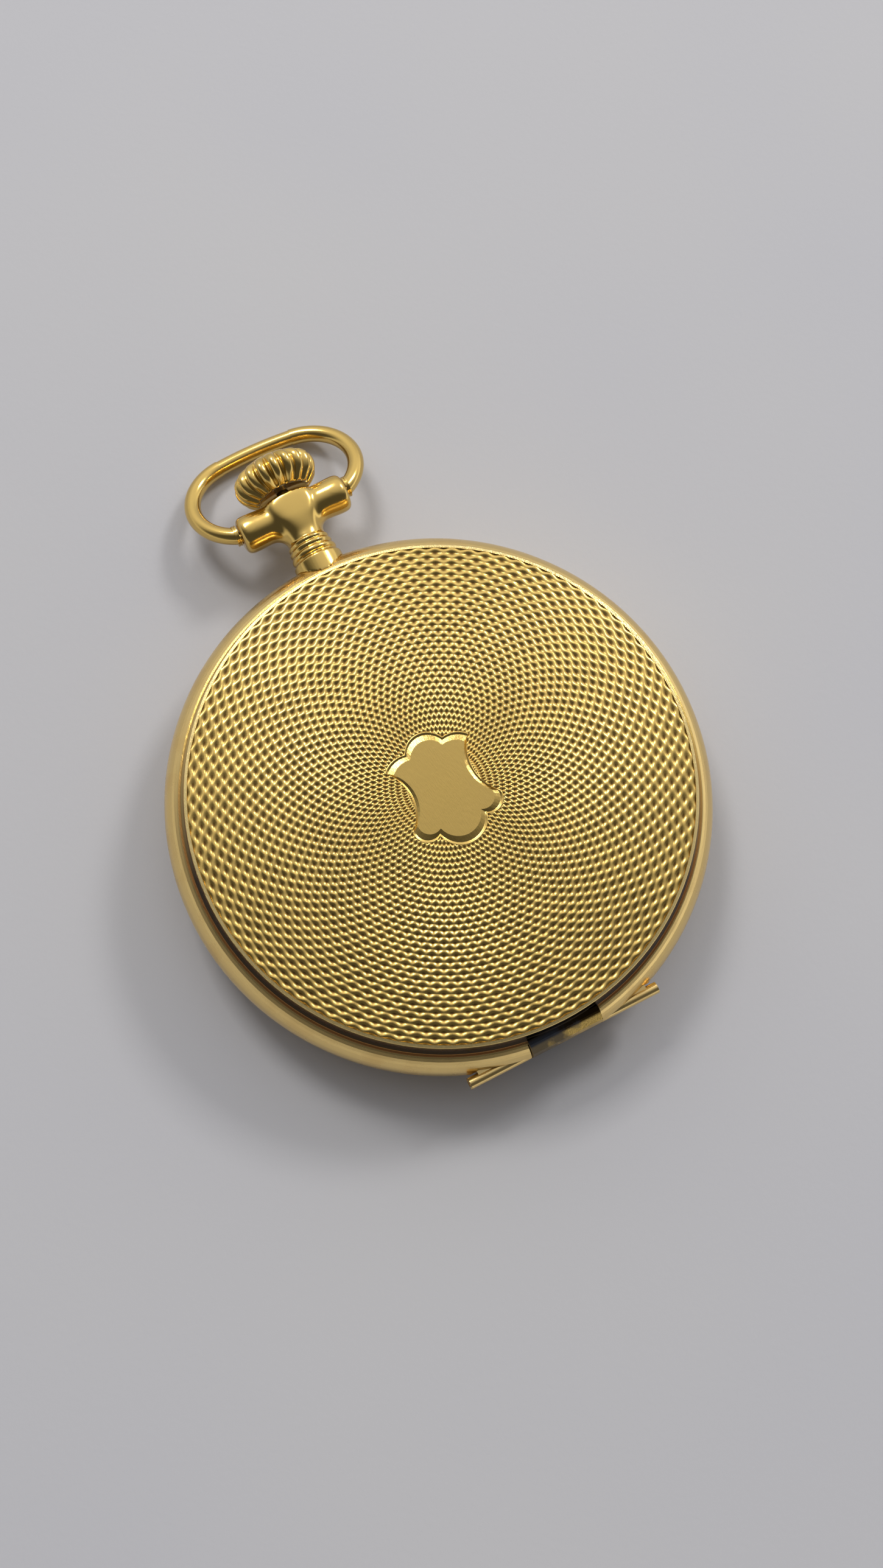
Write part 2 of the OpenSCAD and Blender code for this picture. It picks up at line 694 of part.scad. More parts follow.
module crystal() {
    z0 = front_z + 0.44;
    color("#dfeef2", 0.4) rotate_extrude($fn = 128) polygon(concat(
        [[0, z0 + 0.42]],
        [for (i = [1 : 8]) let (r = (glass_r - 0.7) * i / 8) [r, z0 + 0.42 - 0.42 * pow(i / 8, 2)]],
        [[glass_r, z0], [glass_r, z0 + 0.3], [glass_r - 0.4, z0 + 0.52]],
        [for (i = [8 : -1 : 0]) let (r = (glass_r - 0.7) * i / 8) [r, z0 + 1.02 - 0.44 * pow(i / 8, 2)]]
    ));
}

// Movement: plate and bridges

module main_plate() {
    color(gilt) movement() difference() {
        rod(plate_r, plate_z0, plate_z1);
        at(barrel_at) rod(barrel_teeth * barrel_m / 2 + 0.5, plate_z0 - 1, barrel_z1 + 0.15);
        at(barrel_at) rod(0.62, 4, 9);
        rod(1.65, plate_z0 - 1, plate_z0 + 0.6);
        rod(0.75, 4, 9);
        for (p = [third_at, escape_at, pallet_at, balance_at]) at(p)
            rod(jewel_r + run_gap, plate_z0 - 1, plate_z0 + 0.5);
        at(fourth_at) rod(jewel_r + run_gap, 4, 9);
        x_rod(stem_bore_r, 8, 30);
        translate([11.9, -2, plate_z0 - 1]) cube([winding_x + 1.2 - 11.9, 4, 9]);
        at(crown_wheel_at) rod(4.3, plate_z0 - 1, plate_z0 + 0.05);
        rod(3.5, motion_z - 0.12, 9);
        at(minute_at) rod(minute_teeth * cannon_m / 2 + 0.5, motion_z - 0.12, 9);
        at(setting_at) rod(setting_teeth * cannon_m / 2 + 0.5, motion_z - 0.12, 9);
        translate([8.4, 1.2, motion_z - 0.12]) cube([9.6, 4.6, 3]);
        for (a = case_screw_angles) rotate(a) translate([case_screw_r, 0, 0]) rod(0.4 + run_gap, 4, 6);
        for (s = bridge_screw_at) at(s) rod(bridge_screw_r + run_gap, 4, 5.6);
        for (a = dial_feet) rotate(a) translate([dial_foot_at, 0, 0]) rod(0.4 + run_gap, 5, 9);
    }
}

// Outline of the barrel bridge; the rest of the disc, less the balance, is the train bridge
module barrel_bridge_area() {
    intersection() {
        circle(r = bridge_r);
        polygon([[-7.6, 22], [-7.6, 2.4], [1.5, -2.4], [9, -4.9], [22, -5.4], [22, 22]]);
    }
}

module train_bridge_area() {
    difference() {
        circle(r = bridge_r);
        polygon([[-22, 22], [-22, 3.2], [-7.8, 2.2], [1.4, -2.75], [8.9, -5.2], [22, -5.7], [22, 22]]);
        translate(balance_at) circle(r = balance_r + 0.5);
        translate([-22, -22]) square([13.4, 44]);
    }
}

module rim_area() {
    difference() {
        circle(r = bridge_r + 1);
        circle(r = rim_in);
    }
}

module bridge_body(z0) {
    translate([0, 0, z0]) linear_extrude(bridge_t) children();
    translate([0, 0, z0]) linear_extrude(plate_z0 - z0) intersection() {
        children();
        rim_area();
    }
}

module barrel_bridge() {
    color(nickel) movement() difference() {
        bridge_body(bridge_z) barrel_bridge_area();
        at(barrel_at) rod(ratchet_teeth * ratchet_m / 2 + 0.55, bridge_z - 1, bridge_z + 0.42);
        at(barrel_at) rod(1.2 + run_gap, 1, 4);
        at(crown_wheel_at) rod(crown_teeth * ratchet_m / 2 + 0.5, 1, plate_z0 + 1);
        rod(jewel_r + run_gap, 1, 4);
        at(click_at) rod(0.3 + run_gap, 1, 4);
        at(click_at) rod(2.9, 1, bridge_z + 0.42);
        case_screw_pockets();
        for (s = bridge_screw_at) at(s) {
            rod(bridge_screw_r + run_gap, 1, 5);
            rod(bridge_screw_head + run_gap, 1, bridge_z + 0.4);
        }
    }
}

module crown_wheel_core() {
    top = mid_z - 1 - run_gap * 2;
    at(crown_wheel_at) color(steel) movement() {
        rod(1.5, bridge_z + 0.02, bridge_z + 0.3);
        rod(0.9, bridge_z + 0.1, 3.65);
        rod(2.85, 3.6, top);
        difference() {
            rod(2.85, top - 0.1, plate_z0 + 0.05);
            translate([-5, -2.05, 0]) cube([10, 4.1, 9]);
        }
    }
}

module train_bridge() {
    color(nickel) movement() difference() {
        bridge_body(bridge_z) train_bridge_area();
        for (p = [third_at, fourth_at, escape_at]) at(p) rod(jewel_r + run_gap, 1, 4);
        for (s = bridge_screw_at) at(s) {
            rod(bridge_screw_r + run_gap, 1, 5);
            rod(bridge_screw_head + run_gap, 1, bridge_z + 0.4);
        }
    }
}

module balance_cock() {
    foot = bridge_screw_at[4];
    color(nickel) movement() difference() {
        union() {
            translate([0, 0, bridge_z]) linear_extrude(0.45) union() {
                translate(balance_at) circle(r = 2.2);
                translate(foot) circle(r = 2.6);
                polygon([balance_at + [-2.0, 0.9], balance_at + [2.0, 0.9], foot + [2.6, 0.2],
                    foot + [-2.6, 0.2]]);
            }
            translate([0, 0, bridge_z]) linear_extrude(plate_z0 - bridge_z) difference() {
                union() {
                    translate(foot) circle(r = 2.6);
                    translate(foot - [2.6, 2.4]) square([5.2, 2.4]);
                }
                translate(balance_at) circle(r = balance_r + 0.55);
            }
        }
        at(balance_at) rod(jewel_r + run_gap, 1, 5);
        at(foot) {
            rod(bridge_screw_r + run_gap, 1, 5);
            rod(bridge_screw_head + run_gap, 1, bridge_z + 0.4);
        }
        at(balance_at + [2.9, 2.9]) rod(0.2, 1, 5);
    }
}

module pallet_bridge() {
    side = [-sin(lever_angle), cos(lever_angle)];
    color(nickel) movement() difference() {
        union() {
            translate([0, 0, 3.55]) linear_extrude(0.27) hull() {
                translate(pallet_at) circle(r = 0.9, $fn = 32);
                translate(pallet_at - 3.4 * side) circle(r = 0.9, $fn = 32);
            }
            at(pallet_at - 3.4 * side) rod(0.85, 3.6, plate_z0);
        }
        at(pallet_at) rod(pivot_r + run_gap, 3, 5);
    }
}

// Barrel and winding

module mainspring_barrel() {
    phase = atan2(-barrel_at[1], -barrel_at[0]);
    color(gilt) movement() at(barrel_at) difference() {
        union() {
            rod(barrel_r, barrel_z0, barrel_z1);
            translate([0, 0, 4.4]) linear_extrude(0.4)
                polygon(teeth(barrel_teeth, barrel_m, 1.2, 1.3, 0.46, phase));
        }
        rod(barrel_r - 0.5, 3, barrel_z1 - 0.35);
        rod(1.0 + run_gap, 3, 7);
    }
}

module barrel_lid() {
    color(gilt) movement() at(barrel_at)
        tube(barrel_r - 0.5 - fit_gap, 1.0 + run_gap, barrel_z0, barrel_z0 + 0.22);
}

module mainspring() {
    color(steel) movement() at(barrel_at) spiral(1.65, 8, 0.64, 0.2, barrel_z0 + 0.35, barrel_z1 - 0.45);
}

module barrel_arbor() {
    color(steel) movement() at(barrel_at) {
        rod(1.6, barrel_z0 + 0.35, barrel_z1 - 0.45);
        rod(1.0, 3.2, 5.7);
        rod(1.2, ratchet_z + 0.3, 3.2);
        rod(0.6, 5.6, plate_z1 - 0.3);
        rod(0.8 - run_gap / 2, ratchet_z + 0.02, 2.4);
    }
}

module ratchet_wheel() {
    a = atan2(crown_wheel_at[1] - barrel_at[1], crown_wheel_at[0] - barrel_at[0]);
    color(steel) movement() at(barrel_at) difference() {
        translate([0, 0, ratchet_z]) linear_extrude(0.28)
            polygon(teeth(ratchet_teeth, ratchet_m, 0.9, 1.1, 0.44, a));
        rod(0.8, 1, 4);
        for (i = [0 : 2]) rotate(i * 120) translate([4.4, 0, 0]) rod(1.5, 1, 4);
    }
}

module crown_wheel() {
    a = atan2(barrel_at[1] - crown_wheel_at[1], barrel_at[0] - crown_wheel_at[0]);
    pinion_z = mid_z - winding_teeth * winding_m / 2;
    color(steel) movement() at(crown_wheel_at) {
        difference() {
            union() {
                translate([0, 0, ratchet_z]) linear_extrude(0.28)
                    polygon(teeth(crown_teeth, ratchet_m, 0.9, 1.1, 0.44, a + 180 / crown_teeth));
                rod(contrate_r + 0.3, ratchet_z + 0.1, pinion_z - 0.32);
            }
            rod(0.9 + run_gap, 1, 5);
            rod(1.5 + run_gap, 1, bridge_z + 0.32);
        }
        for (i = [0 : crown_teeth - 1]) rotate(i * 360 / crown_teeth)
            translate([contrate_r - 0.3, -0.14, pinion_z - 0.4]) cube([0.6, 0.28, 0.6]);
    }
}

module click() {
    color(steel) movement() at(click_at) difference() {
        translate([0, 0, ratchet_z]) linear_extrude(0.28) polygon(concat(
            arc([0, 0], 0.75, 60, 240, 10),
            [polar(2.45, -47), polar(2.6, -40), polar(2.3, -30), polar(1.1, 10)]
        ));
        rod(0.3 + run_gap, 1, 5);
    }
}

module click_spring() {
    color(steel) movement() at(click_at) {
        rod(0.3, ratchet_z, bridge_z + 0.8);
        difference() {
            tube(1.95, 1.75, ratchet_z, ratchet_z + 0.3);
            rotate(-75) translate([-0.5, -0.5, 0]) cube([4, 4, 9]);
            rotate(15) translate([-0.5, -0.5, 0]) cube([4, 4, 9]);
        }
        translate([-1.9, -0.15, bridge_z + 0.32]) cube([1.8, 0.3, 0.1]);
    }
}

// Turned about the stem's axis; teeth from x0 to x1
module stem_gear(n, m, phase, x0, x1) {
    translate([x0, 0, mid_z]) rotate([0, 90, 0]) linear_extrude(x1 - x0)
        polygon(teeth(n, m, 0.9, 1.1, 0.4, phase));
}

module winding_pinion() {
    color(steel) movement() difference() {
        union() {
            stem_gear(winding_teeth, winding_m, 180 / winding_teeth, winding_x - 0.32, winding_x + 0.32);
            x_rod(1.0, winding_x - 0.9, winding_x + 1);
            for (i = [0 : 5]) translate([winding_x - 1.05, 0, mid_z]) rotate([i * 60, 0, 0])
                translate([0, 0.65, -0.12]) cube([0.2, 0.33, 0.24]);
        }
        x_rod(stem_r + run_gap, 10, 20);
    }
}

module clutch_wheel() {
    color(steel) movement() difference() {
        union() {
            x_rod(1.0, 12.5, 13.0);
            x_rod(0.8, 12.9, 13.7);
            x_rod(1.0, 13.6, winding_x - 1.12);
            for (i = [0 : 7]) translate([12.3, 0, mid_z]) rotate([i * 45, 0, 0])
                translate([0, 0.65, -0.12]) cube([0.25, 0.33, 0.24]);
        }
        x_rod(stem_r * 0.85 + run_gap, 10, 20);
    }
}

module setting_lever() {
    color(steel) movement() translate([0, 0, motion_z]) difference() {
        linear_extrude(0.3) hull() {
            translate([16.5, 2.9]) circle(r = 0.8, $fn = 32);
            translate([13.6, 4.4]) circle(r = 0.55, $fn = 32);
        }
        translate([16.5, 2.9, 0]) rod(0.35, -1, 2);
    }
}

module yoke() {
    color(steel) movement() translate([0, 0, motion_z]) difference() {
        linear_extrude(0.3) hull() {
            translate([9.4, 4.9]) circle(r = 0.7, $fn = 32);
            translate([12.2, 2.0]) circle(r = 0.35, $fn = 32);
        }
        translate([9.4, 4.9, 0]) rod(0.3, -1, 2);
    }
}

module setting_wheel() {
    a = atan2(minute_at[1] - setting_at[1], minute_at[0] - setting_at[0]);
    color(steel) movement() at(setting_at) {
        translate([0, 0, motion_z]) linear_extrude(0.22)
            polygon(teeth(setting_teeth, cannon_m, 0.95, 1.3, 0.4, a + 180 / setting_teeth));
        rod(0.5, motion_z - 0.1, motion_z + 0.4);
    }
}

// Train

module arbor(r, z0, z1) {
    rod(pivot_r, z0 - 0.42, z1 + 0.4);
    rod(r, z0, z1);
}

module centre_wheel() {
    a = atan2(barrel_at[1], barrel_at[0]);
    b = atan2(third_at[1], third_at[0]);
    color(gilt) movement() {
        train_wheel(centre_teeth, centre_m, b, 5, 1.5, wheel_z, wheel_z + 0.22);
        pinion(centre_leaves, barrel_m, a + 180 / centre_leaves, wheel_z + 0.2, 4.85);
        rod(0.7, 4.8, motion_z - 0.1);
        rod(0.5, motion_z - 0.2, dial_top + 0.85);
        rod(pivot_r * 2, bridge_z + 0.35, wheel_z + 0.1);
    }
}

module third_wheel() {
    a = atan2(-third_at[1], -third_at[0]);
    b = atan2(fourth_at[1] - third_at[1], fourth_at[0] - third_at[0]);
    color(gilt) movement() at(third_at) {
        train_wheel(third_teeth, third_m, b, 5, 0.9, 3.86, 4.06);
        pinion(third_leaves, centre_m, a + 180 / third_leaves, train_z + 0.05, 3.88);
        arbor(0.3, train_z + 0.03, plate_z0 - 0.03);
    }
}

module fourth_wheel() {
    a = atan2(third_at[1] - fourth_at[1], third_at[0] - fourth_at[0]);
    b = atan2(escape_at[1] - fourth_at[1], escape_at[0] - fourth_at[0]);
    color(gilt) movement() at(fourth_at) {
        train_wheel(fourth_teeth, fourth_m, b, 5, 0.9, 3.4, 3.58);
        pinion(fourth_leaves, third_m, a + 180 / fourth_leaves, 3.5, 4.22);
        arbor(0.3, train_z + 0.03, plate_z0 - 0.03);
        rod(pivot_r, plate_z0, dial_top + 0.35);
    }
}

module escape_wheel() {
    a = atan2(fourth_at[1] - escape_at[1], fourth_at[0] - escape_at[0]);
    color(steel) movement() at(escape_at) {
        difference() {
            translate([0, 0, 3.95]) linear_extrude(0.18) polygon([
                for (i = [0 : escape_teeth - 1]) let (t = lever_angle + i * 360 / escape_teeth)
                    each [polar(escape_r * 0.76, t - 15), polar(escape_r * 0.74, t - 8),
                        polar(escape_r * 0.97, t - 1.6),
                        polar(escape_r, t + 1.5), polar(escape_r * 0.93, t + 1.2),
                            polar(escape_r * 0.78, t - 2)]
            ]);
            for (i = [0 : 3]) rotate(45 + i * 90) translate([1.15, 0, 0]) rod(0.52, 3, 5);
        }
        pinion(escape_leaves, fourth_m, a + 180 / escape_leaves, 3.3, 3.72);
        arbor(0.22, train_z + 0.03, plate_z0 - 0.03);
    }
}

module pallet_fork() {
    color(steel) movement() at(pallet_at) rotate(lever_angle) {
        difference() {
            translate([0, 0, 3.93]) linear_extrude(0.2) difference() {
                polygon([[-0.4, -2.05], [0.38, -2.05], [0.42, -0.55], [3.4, -0.22], [4.3, -0.62],
                    [4.75, -0.62],
                    [4.75, 0.62], [4.3, 0.62], [3.4, 0.22], [0.42, 0.55], [0.38, 2.05], [-0.4, 2.05],
                        [-0.35, 0.75],
                    [-0.1, 0], [-0.35, -0.75]]);
                translate([4.1, -0.2]) square([2, 0.4]);
                translate([fork_dist, 0]) circle(r = 1.15);
                for (s = [-1, 1]) stone_at(s) translate([-0.5, -0.14]) square([1.2, 0.28]);
            }
            rod(pivot_r, 3, 5);
        }
        rod(pivot_r, 3.6, plate_z0 + 0.3);
    }
}

// Place of a pallet stone, from the fork's pivot: X points to the escape wheel's centre
module stone_at(s) {
    translate([-pallet_dist, 0]) rotate(30 * s) translate([escape_r + 0.04, 0]) children();
}

module pallet_stones() {
    color(ruby) movement() at(pallet_at) rotate(lever_angle) for (s = [-1, 1]) translate([0, 0, 3.91])
        linear_extrude(0.24)
        stone_at(s) polygon([[0.02, -0.13], [0, 0.13], [0.68, 0.13], [0.68, -0.13]]);
}

module balance_wheel() {
    color(gilt) movement() at(balance_at) difference() {
        union() {
            tube(balance_r - 0.35, balance_r - 1.0, 3.0, 3.42);
            translate([-balance_r + 0.5, -0.4, 3.18]) cube([2 * balance_r - 1, 0.8, 0.22]);
            rod(1.0, 3.18, 3.4);
        }
        rod(0.5, 2, 5);
        for (a = [12, 192]) rotate(a) translate([balance_r - 1.3, 0.3, 2]) cube([1.2, 0.12, 3]);
    }
}

module balance_screws() {
    color(gold) movement() at(balance_at) for (i = [0 : 15]) rotate(i * 22.5 + 4 + (i % 2) * 3)
        translate([balance_r - 0.36, 0, 3.21])
        rotate([0, 90, 0]) cylinder(h = 0.4, r = 0.2, $fn = 24);
}

module balance_staff() {
    color(steel) movement() at(balance_at) {
        rod(0.5, 2.82, 3.5);
        rod(0.9, 3.5, 3.66);
        rod(0.25, 3.6, plate_z0 - 0.05);
        rod(pivot_r, bridge_z + 0.1, plate_z0 + 0.3);
        rod(0.62, 2.52, 2.86);
        rotate(lever_angle + 180) translate([0.68, 0, 0]) rod(0.13, 3.6, 3.88);
    }
}

echo(str("least gap between hairspring turns, mm: ", hair_pitch - hair_strip));

module hairspring() {
    color(blue_steel) movement() at(balance_at)
        spiral(hair_r, hair_turns, hair_pitch, hair_strip, 2.56, 2.76);
}

module hairspring_stud() {
    r = hair_r + hair_pitch * hair_turns + hair_strip;
    color(steel) movement() at(balance_at) rotate(hair_turns * 360) {
        translate([r + 0.01, -0.25, bridge_z + 0.47]) cube([0.45, 0.5, 0.55]);
    }
}

module regulator() {
    color(steel) movement() at(balance_at) difference() {
        translate([0, 0, bridge_z - 0.17]) linear_extrude(0.15) union() {
            circle(r = 1.5);
            polygon([[-0.35, 0], [0.35, 0], [0.14, 5.6], [0, 5.9], [-0.14, 5.6]]);
        }
        rod(jewel_r + 0.1, 1, 5);
    }
}

module jewel(p, z0, z1, bore) {
    at(p) tube(jewel_r, bore, z0, z1);
}

module jewels() {
    bore = pivot_r + run_gap;
    color(ruby) movement() {
        for (p = [third_at, fourth_at, escape_at]) jewel(p, bridge_z + 0.4, train_z, bore);
        for (p = [third_at, fourth_at, escape_at, pallet_at, balance_at])
            jewel(p, plate_z0, plate_z0 + 0.5, bore);
        jewel([0, 0], bridge_z + 0.2, train_z, pivot_r * 2 + run_gap);
        jewel(balance_at, bridge_z, bridge_z + 0.45, bore);
    }
}

module bridge_screws() {
    color(blue_steel) movement() for (s = bridge_screw_at) at(s) difference() {
        union() {
            rod(bridge_screw_head, bridge_z + 0.02, bridge_z + 0.4);
            rod(bridge_screw_r, bridge_z + 0.3, plate_z0 + 1.2);
        }
        translate([-1, -slot_w / 2, bridge_z - 1]) cube([2, slot_w, 1.2]);
    }
}

// Dial side

module cannon_pinion() {
    a = atan2(minute_at[1], minute_at[0]);
    color(steel) movement() difference() {
        union() {
            pinion(cannon_leaves, cannon_m, a + 180 / cannon_leaves, motion_z, motion_z + 0.25);
            rod(0.72, motion_z, dial_top + 0.75);
        }
        rod(0.5 + run_gap, motion_z - 1, 9);
    }
}

module minute_wheel() {
    a = atan2(-minute_at[1], -minute_at[0]);
    color(gilt) movement() at(minute_at) {
        translate([0, 0, motion_z]) linear_extrude(0.2)
            polygon(teeth(minute_teeth, cannon_m, 1, 1.3, 0.42, a));
        pinion(minute_leaves, hour_m, a + 180 / minute_leaves, motion_z + 0.18, motion_z + 0.56);
        rod(0.3, motion_z - 0.1, motion_z + 0.58);
    }
}

module hour_wheel() {
    a = atan2(minute_at[1], minute_at[0]);
    color(gilt) movement() difference() {
        union() {
            translate([0, 0, motion_z + 0.32]) linear_extrude(0.2)
                polygon(teeth(hour_teeth, hour_m, 1.1, 1.3, 0.44, a));
            rod(1.25, motion_z + 0.4, dial_top + 0.3);
        }
        rod(0.72 + run_gap, 4, 9);
    }
}

module dial() {
    color("#f6f3ea") movement() difference() {
        rod(dial_r, dial_z, dial_top);
        rod(1.6, 6, 9);
        at(fourth_at) rod(5.3, dial_top - 0.12, 9);
        at(fourth_at) rod(0.5, 6, 9);
    }
    color("#b8733a") movement() for (a = dial_feet) rotate(a) translate([dial_foot_at, 0, 0])
        rod(0.4, plate_z1 - 1.2, dial_z + 0.02);
}

module hand_blade(l, w, tail) {
    polygon([[-w * 0.3, -tail], [w * 0.3, -tail], [w * 0.22, l * 0.55], [w * 0.75, l * 0.72],
        [w * 0.18, l * 0.82],
        [0, l], [-w * 0.18, l * 0.82], [-w * 0.75, l * 0.72], [-w * 0.22, l * 0.55]]);
}

module hour_hand() {
    z = dial_top + 0.18;
    color(blue_steel) movement() difference() {
        translate([0, 0, z]) linear_extrude(0.12) rotate(-305) union() {
            circle(r = 1.7);
            hand_blade(11.5, 1.5, 0);
        }
        rod(1.25, 6, 9);
    }
}

module minute_hand() {
    z = dial_top + 0.55;
    color(blue_steel) movement() difference() {
        translate([0, 0, z]) linear_extrude(0.12) rotate(-54) union() {
            circle(r = 1.3);
            hand_blade(17.4, 1.1, 0);
        }
        rod(0.72, 6, 9);
    }
}

module seconds_hand() {
    z = dial_top + 0.12;
    color(blue_steel) movement() at(fourth_at) difference() {
        translate([0, 0, z]) linear_extrude(0.1) union() {
            circle(r = 0.5);
            polygon([[-0.14, -1.6], [0.14, -1.6], [0.05, 4.6], [-0.05, 4.6]]);
        }
        rod(pivot_r, 6, 9);
    }
}

case_band();
pendant();
pendant_sleeve();
front_cover();
front_hinge_pin();
back_cover();
back_hinge_pin();
cuvette();
bezel();
crystal();
bow();
crown();
stem();
lift_spring();
lock_spring();
case_screws();
main_plate();
barrel_bridge();
train_bridge();
balance_cock();
pallet_bridge();
mainspring_barrel();
barrel_lid();
mainspring();
barrel_arbor();
ratchet_wheel();
crown_wheel();
crown_wheel_core();
click();
click_spring();
winding_pinion();
clutch_wheel();
setting_lever();
yoke();
setting_wheel();
centre_wheel();
third_wheel();
fourth_wheel();
escape_wheel();
pallet_fork();
pallet_stones();
balance_wheel();
balance_screws();
balance_staff();
hairspring();
hairspring_stud();
regulator();
jewels();
bridge_screws();
cannon_pinion();
minute_wheel();
hour_wheel();
dial();
hour_hand();
minute_hand();
seconds_hand();
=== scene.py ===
"""Full hunter pocket watch: finishes, engraved domes, crown, dial printing, light and camera."""

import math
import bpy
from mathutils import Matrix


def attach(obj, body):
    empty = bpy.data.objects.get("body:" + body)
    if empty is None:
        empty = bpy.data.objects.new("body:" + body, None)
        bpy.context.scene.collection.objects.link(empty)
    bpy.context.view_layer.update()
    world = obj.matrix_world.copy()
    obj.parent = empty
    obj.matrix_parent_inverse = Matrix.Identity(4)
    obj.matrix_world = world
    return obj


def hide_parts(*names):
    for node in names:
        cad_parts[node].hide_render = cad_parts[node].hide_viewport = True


bl_info = {
    "name": "Hunter Pocket Watch",
    "version": (1, 0, 0),
    "blender": (4, 5, 0),
    "location": "View3D > Sidebar > Pocket Watch",
    "description": "Dresses the packed hunter watch: engine-turned domes, fluted crown, dial, movement finishes",
    "category": "Add Mesh",
}

import bmesh
import bpy
import numpy as np
from mathutils import Matrix, Vector

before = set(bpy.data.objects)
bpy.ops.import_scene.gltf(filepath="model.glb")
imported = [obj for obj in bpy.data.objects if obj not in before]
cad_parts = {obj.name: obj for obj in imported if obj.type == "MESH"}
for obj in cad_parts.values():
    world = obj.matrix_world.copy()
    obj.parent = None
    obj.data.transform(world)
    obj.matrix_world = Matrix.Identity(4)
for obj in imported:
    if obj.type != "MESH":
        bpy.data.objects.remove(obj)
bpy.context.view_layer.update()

MM = 0.001
TURN = 2 * math.pi

# Heights, radii and places that the pieces share with the solids, in millimetres
MID_Z = 5.1
RIDGE_Z = 9.55
RIDGE_R = 23.04
FIELD_R = 22.84
DOME_RISE = 0.77
DOME_R = (RIDGE_R**2 + DOME_RISE**2) / (2 * DOME_RISE)
REST_R = 4.5
SUNK = 0.13
CROWN_X = 33.05
BOW_X = 30.93
DIAL_TOP = 7.02
SECONDS_AT = (0.0, -11.0)
SECONDS_TOP = DIAL_TOP - 0.12
PAINT = 0.01
RATCHET_AT = (4.507, 8.476)
CROWN_WHEEL_AT = (13.0, 0.0)

# Depth at which a part of the engraving lies hidden under the field of its cover
BURIED = SUNK + 0.02
# The rings stop, and their lip ends, at the shield's outline made larger by these factors
RINGS_STOP = 1.155
LIP_END = 1.194
# Direction on the paper that the camera sees as up, roughly from the hinges to the pendant
UPWARD = (0.897, -0.443)


def linear(code):
    """An sRGB hex colour as linear red, green, blue and alpha."""
    parts = [int(code[i : i + 2], 16) / 255 for i in (1, 3, 5)]
    return tuple(c / 12.92 if c <= 0.04045 else ((c + 0.055) / 1.055) ** 2.4 for c in parts) + (1.0,)


def size(name, about, millimetres):
    return bpy.props.FloatProperty(
        name=name, description=about, default=millimetres * MM, unit="LENGTH", precision=5
    )


def colour(name, about, code):
    return bpy.props.FloatVectorProperty(
        name=name, description=about, default=linear(code), size=4, subtype="COLOR", min=0, max=1
    )


class WatchSizes(bpy.types.PropertyGroup):
    """Sizes of the engraving, the crown and the dial's printing."""

    ring_pitch: size("Ring pitch", "Distance between neighbouring cut rings", 0.551)
    cut_depth: size("Cut depth", "Depth of the cuts between the grains", 0.125)
    waves: bpy.props.IntProperty(name="Waves", description="Waves of a cut in one turn", default=90, min=12)
    wave_reach: bpy.props.FloatProperty(
        name="Wave reach", description="Side reach of a cut's waves, as a share of the pitch", default=0.3
    )
    crown_flutes: bpy.props.IntProperty(name="Flutes", description="Flutes round the crown", default=18, min=6)
    flute_depth: size("Flute depth", "Depth of the crown's flutes", 0.62)
    numeral_height: size("Numeral height", "Height of the hour numerals", 3.3)
    numeral_ring: size("Numeral ring", "Radius of the circle through the hour numerals", 16.4)
    track_ring: size("Minute track", "Radius of the inner line of the minute track", 19.1)


class WatchColours(bpy.types.PropertyGroup):
    """Base colours of the finishes."""

    gold: colour("Yellow gold", "Covers, bow, crown and pendant", "#DCBA6A")
    pale_gold: colour("Pale gold", "Band of the case", "#EACB85")
    # Dirt in the cuts, and painted shade in their hollows
    grime: colour("Grime", "Old polish and dirt left in the cuts", "#4A2E12")
    # Dark grey put in patches on the hinge strap
    tarnish: colour("Tarnish", "Dark film on the hinge strap", "#3E434C")
    # Painted warm reflection in the seam under the cover's lip
    copper: colour("Copper line", "Worn edge of the cover's seam", "#D87C48")
    # Painted dark reflection on the steep wall under a ridge
    soot: colour("Wall film", "Dark film on the wall under a ridge", "#1E1107")
    # Painted highlight on the ridges, partly pale wear
    rubbed: colour("Rubbed gold", "Ridges rubbed pale by wear", "#EFD592")
    gilt: colour("Gilt brass", "Plate and wheels", "#D9B062")
    nickel: colour("Nickel", "Plated bridges", "#CFCBC2")
    steel: colour("Steel", "Polished steelwork", "#C9CCD0")
    blued: colour("Blued steel", "Screws, hands and balance spring", "#1C2F7A")
    ruby: colour("Ruby", "Jewels and pallet stones", "#C2184A")
    enamel: colour("Enamel", "Dial ground", "#F4F0E6")
    paper: colour("Paper", "Sheet that the watch lies on", "#C3C3C8")


def sizes():
    return bpy.context.scene.watch_sizes


def tone(name):
    """One of the watch's base colours."""
    return tuple(getattr(bpy.context.scene.watch_colours, name))


def add_node(tree, kind, inputs=None, **settings):
    """Add a node, set its options, and give its inputs their values or links."""
    made = tree.nodes.new(kind)
    for name, value in settings.items():
        setattr(made, name, value)
    for socket, value in (inputs or {}).items():
        if isinstance(value, bpy.types.NodeSocket):
            tree.links.new(value, made.inputs[socket])
        else:
            made.inputs[socket].default_value = value
    return made


def calc(tree, operation, *values):
    """One sum on numbers or sockets."""
    return add_node(tree, "ShaderNodeMath", dict(enumerate(values)), operation=operation).outputs[0]


def product(tree, first, *others):
    """Numbers and sockets multiplied together."""
    for other in others:
        first = calc(tree, "MULTIPLY", first, other)
    return first


def along(tree, vector, direction):
    """How far a vector reaches along a direction."""
    return add_node(tree, "ShaderNodeVectorMath", {0: vector, 1: direction}, operation="DOT_PRODUCT").outputs["Value"]


def spread(tree, value, low, high, start=0.0, end=1.0, **settings):
    """Carry one range of a value over to another."""
    ends = {"Value": value, "From Min": low, "From Max": high, "To Min": start, "To Max": end}
    return add_node(tree, "ShaderNodeMapRange", ends, **settings).outputs[0]


def noise(tree, vector, scale, detail=2.0):
    """Noise with clouds about 1 / scale metres across."""
    return add_node(tree, "ShaderNodeTexNoise", {"Vector": vector, "Scale": scale, "Detail": detail}).outputs["Fac"]


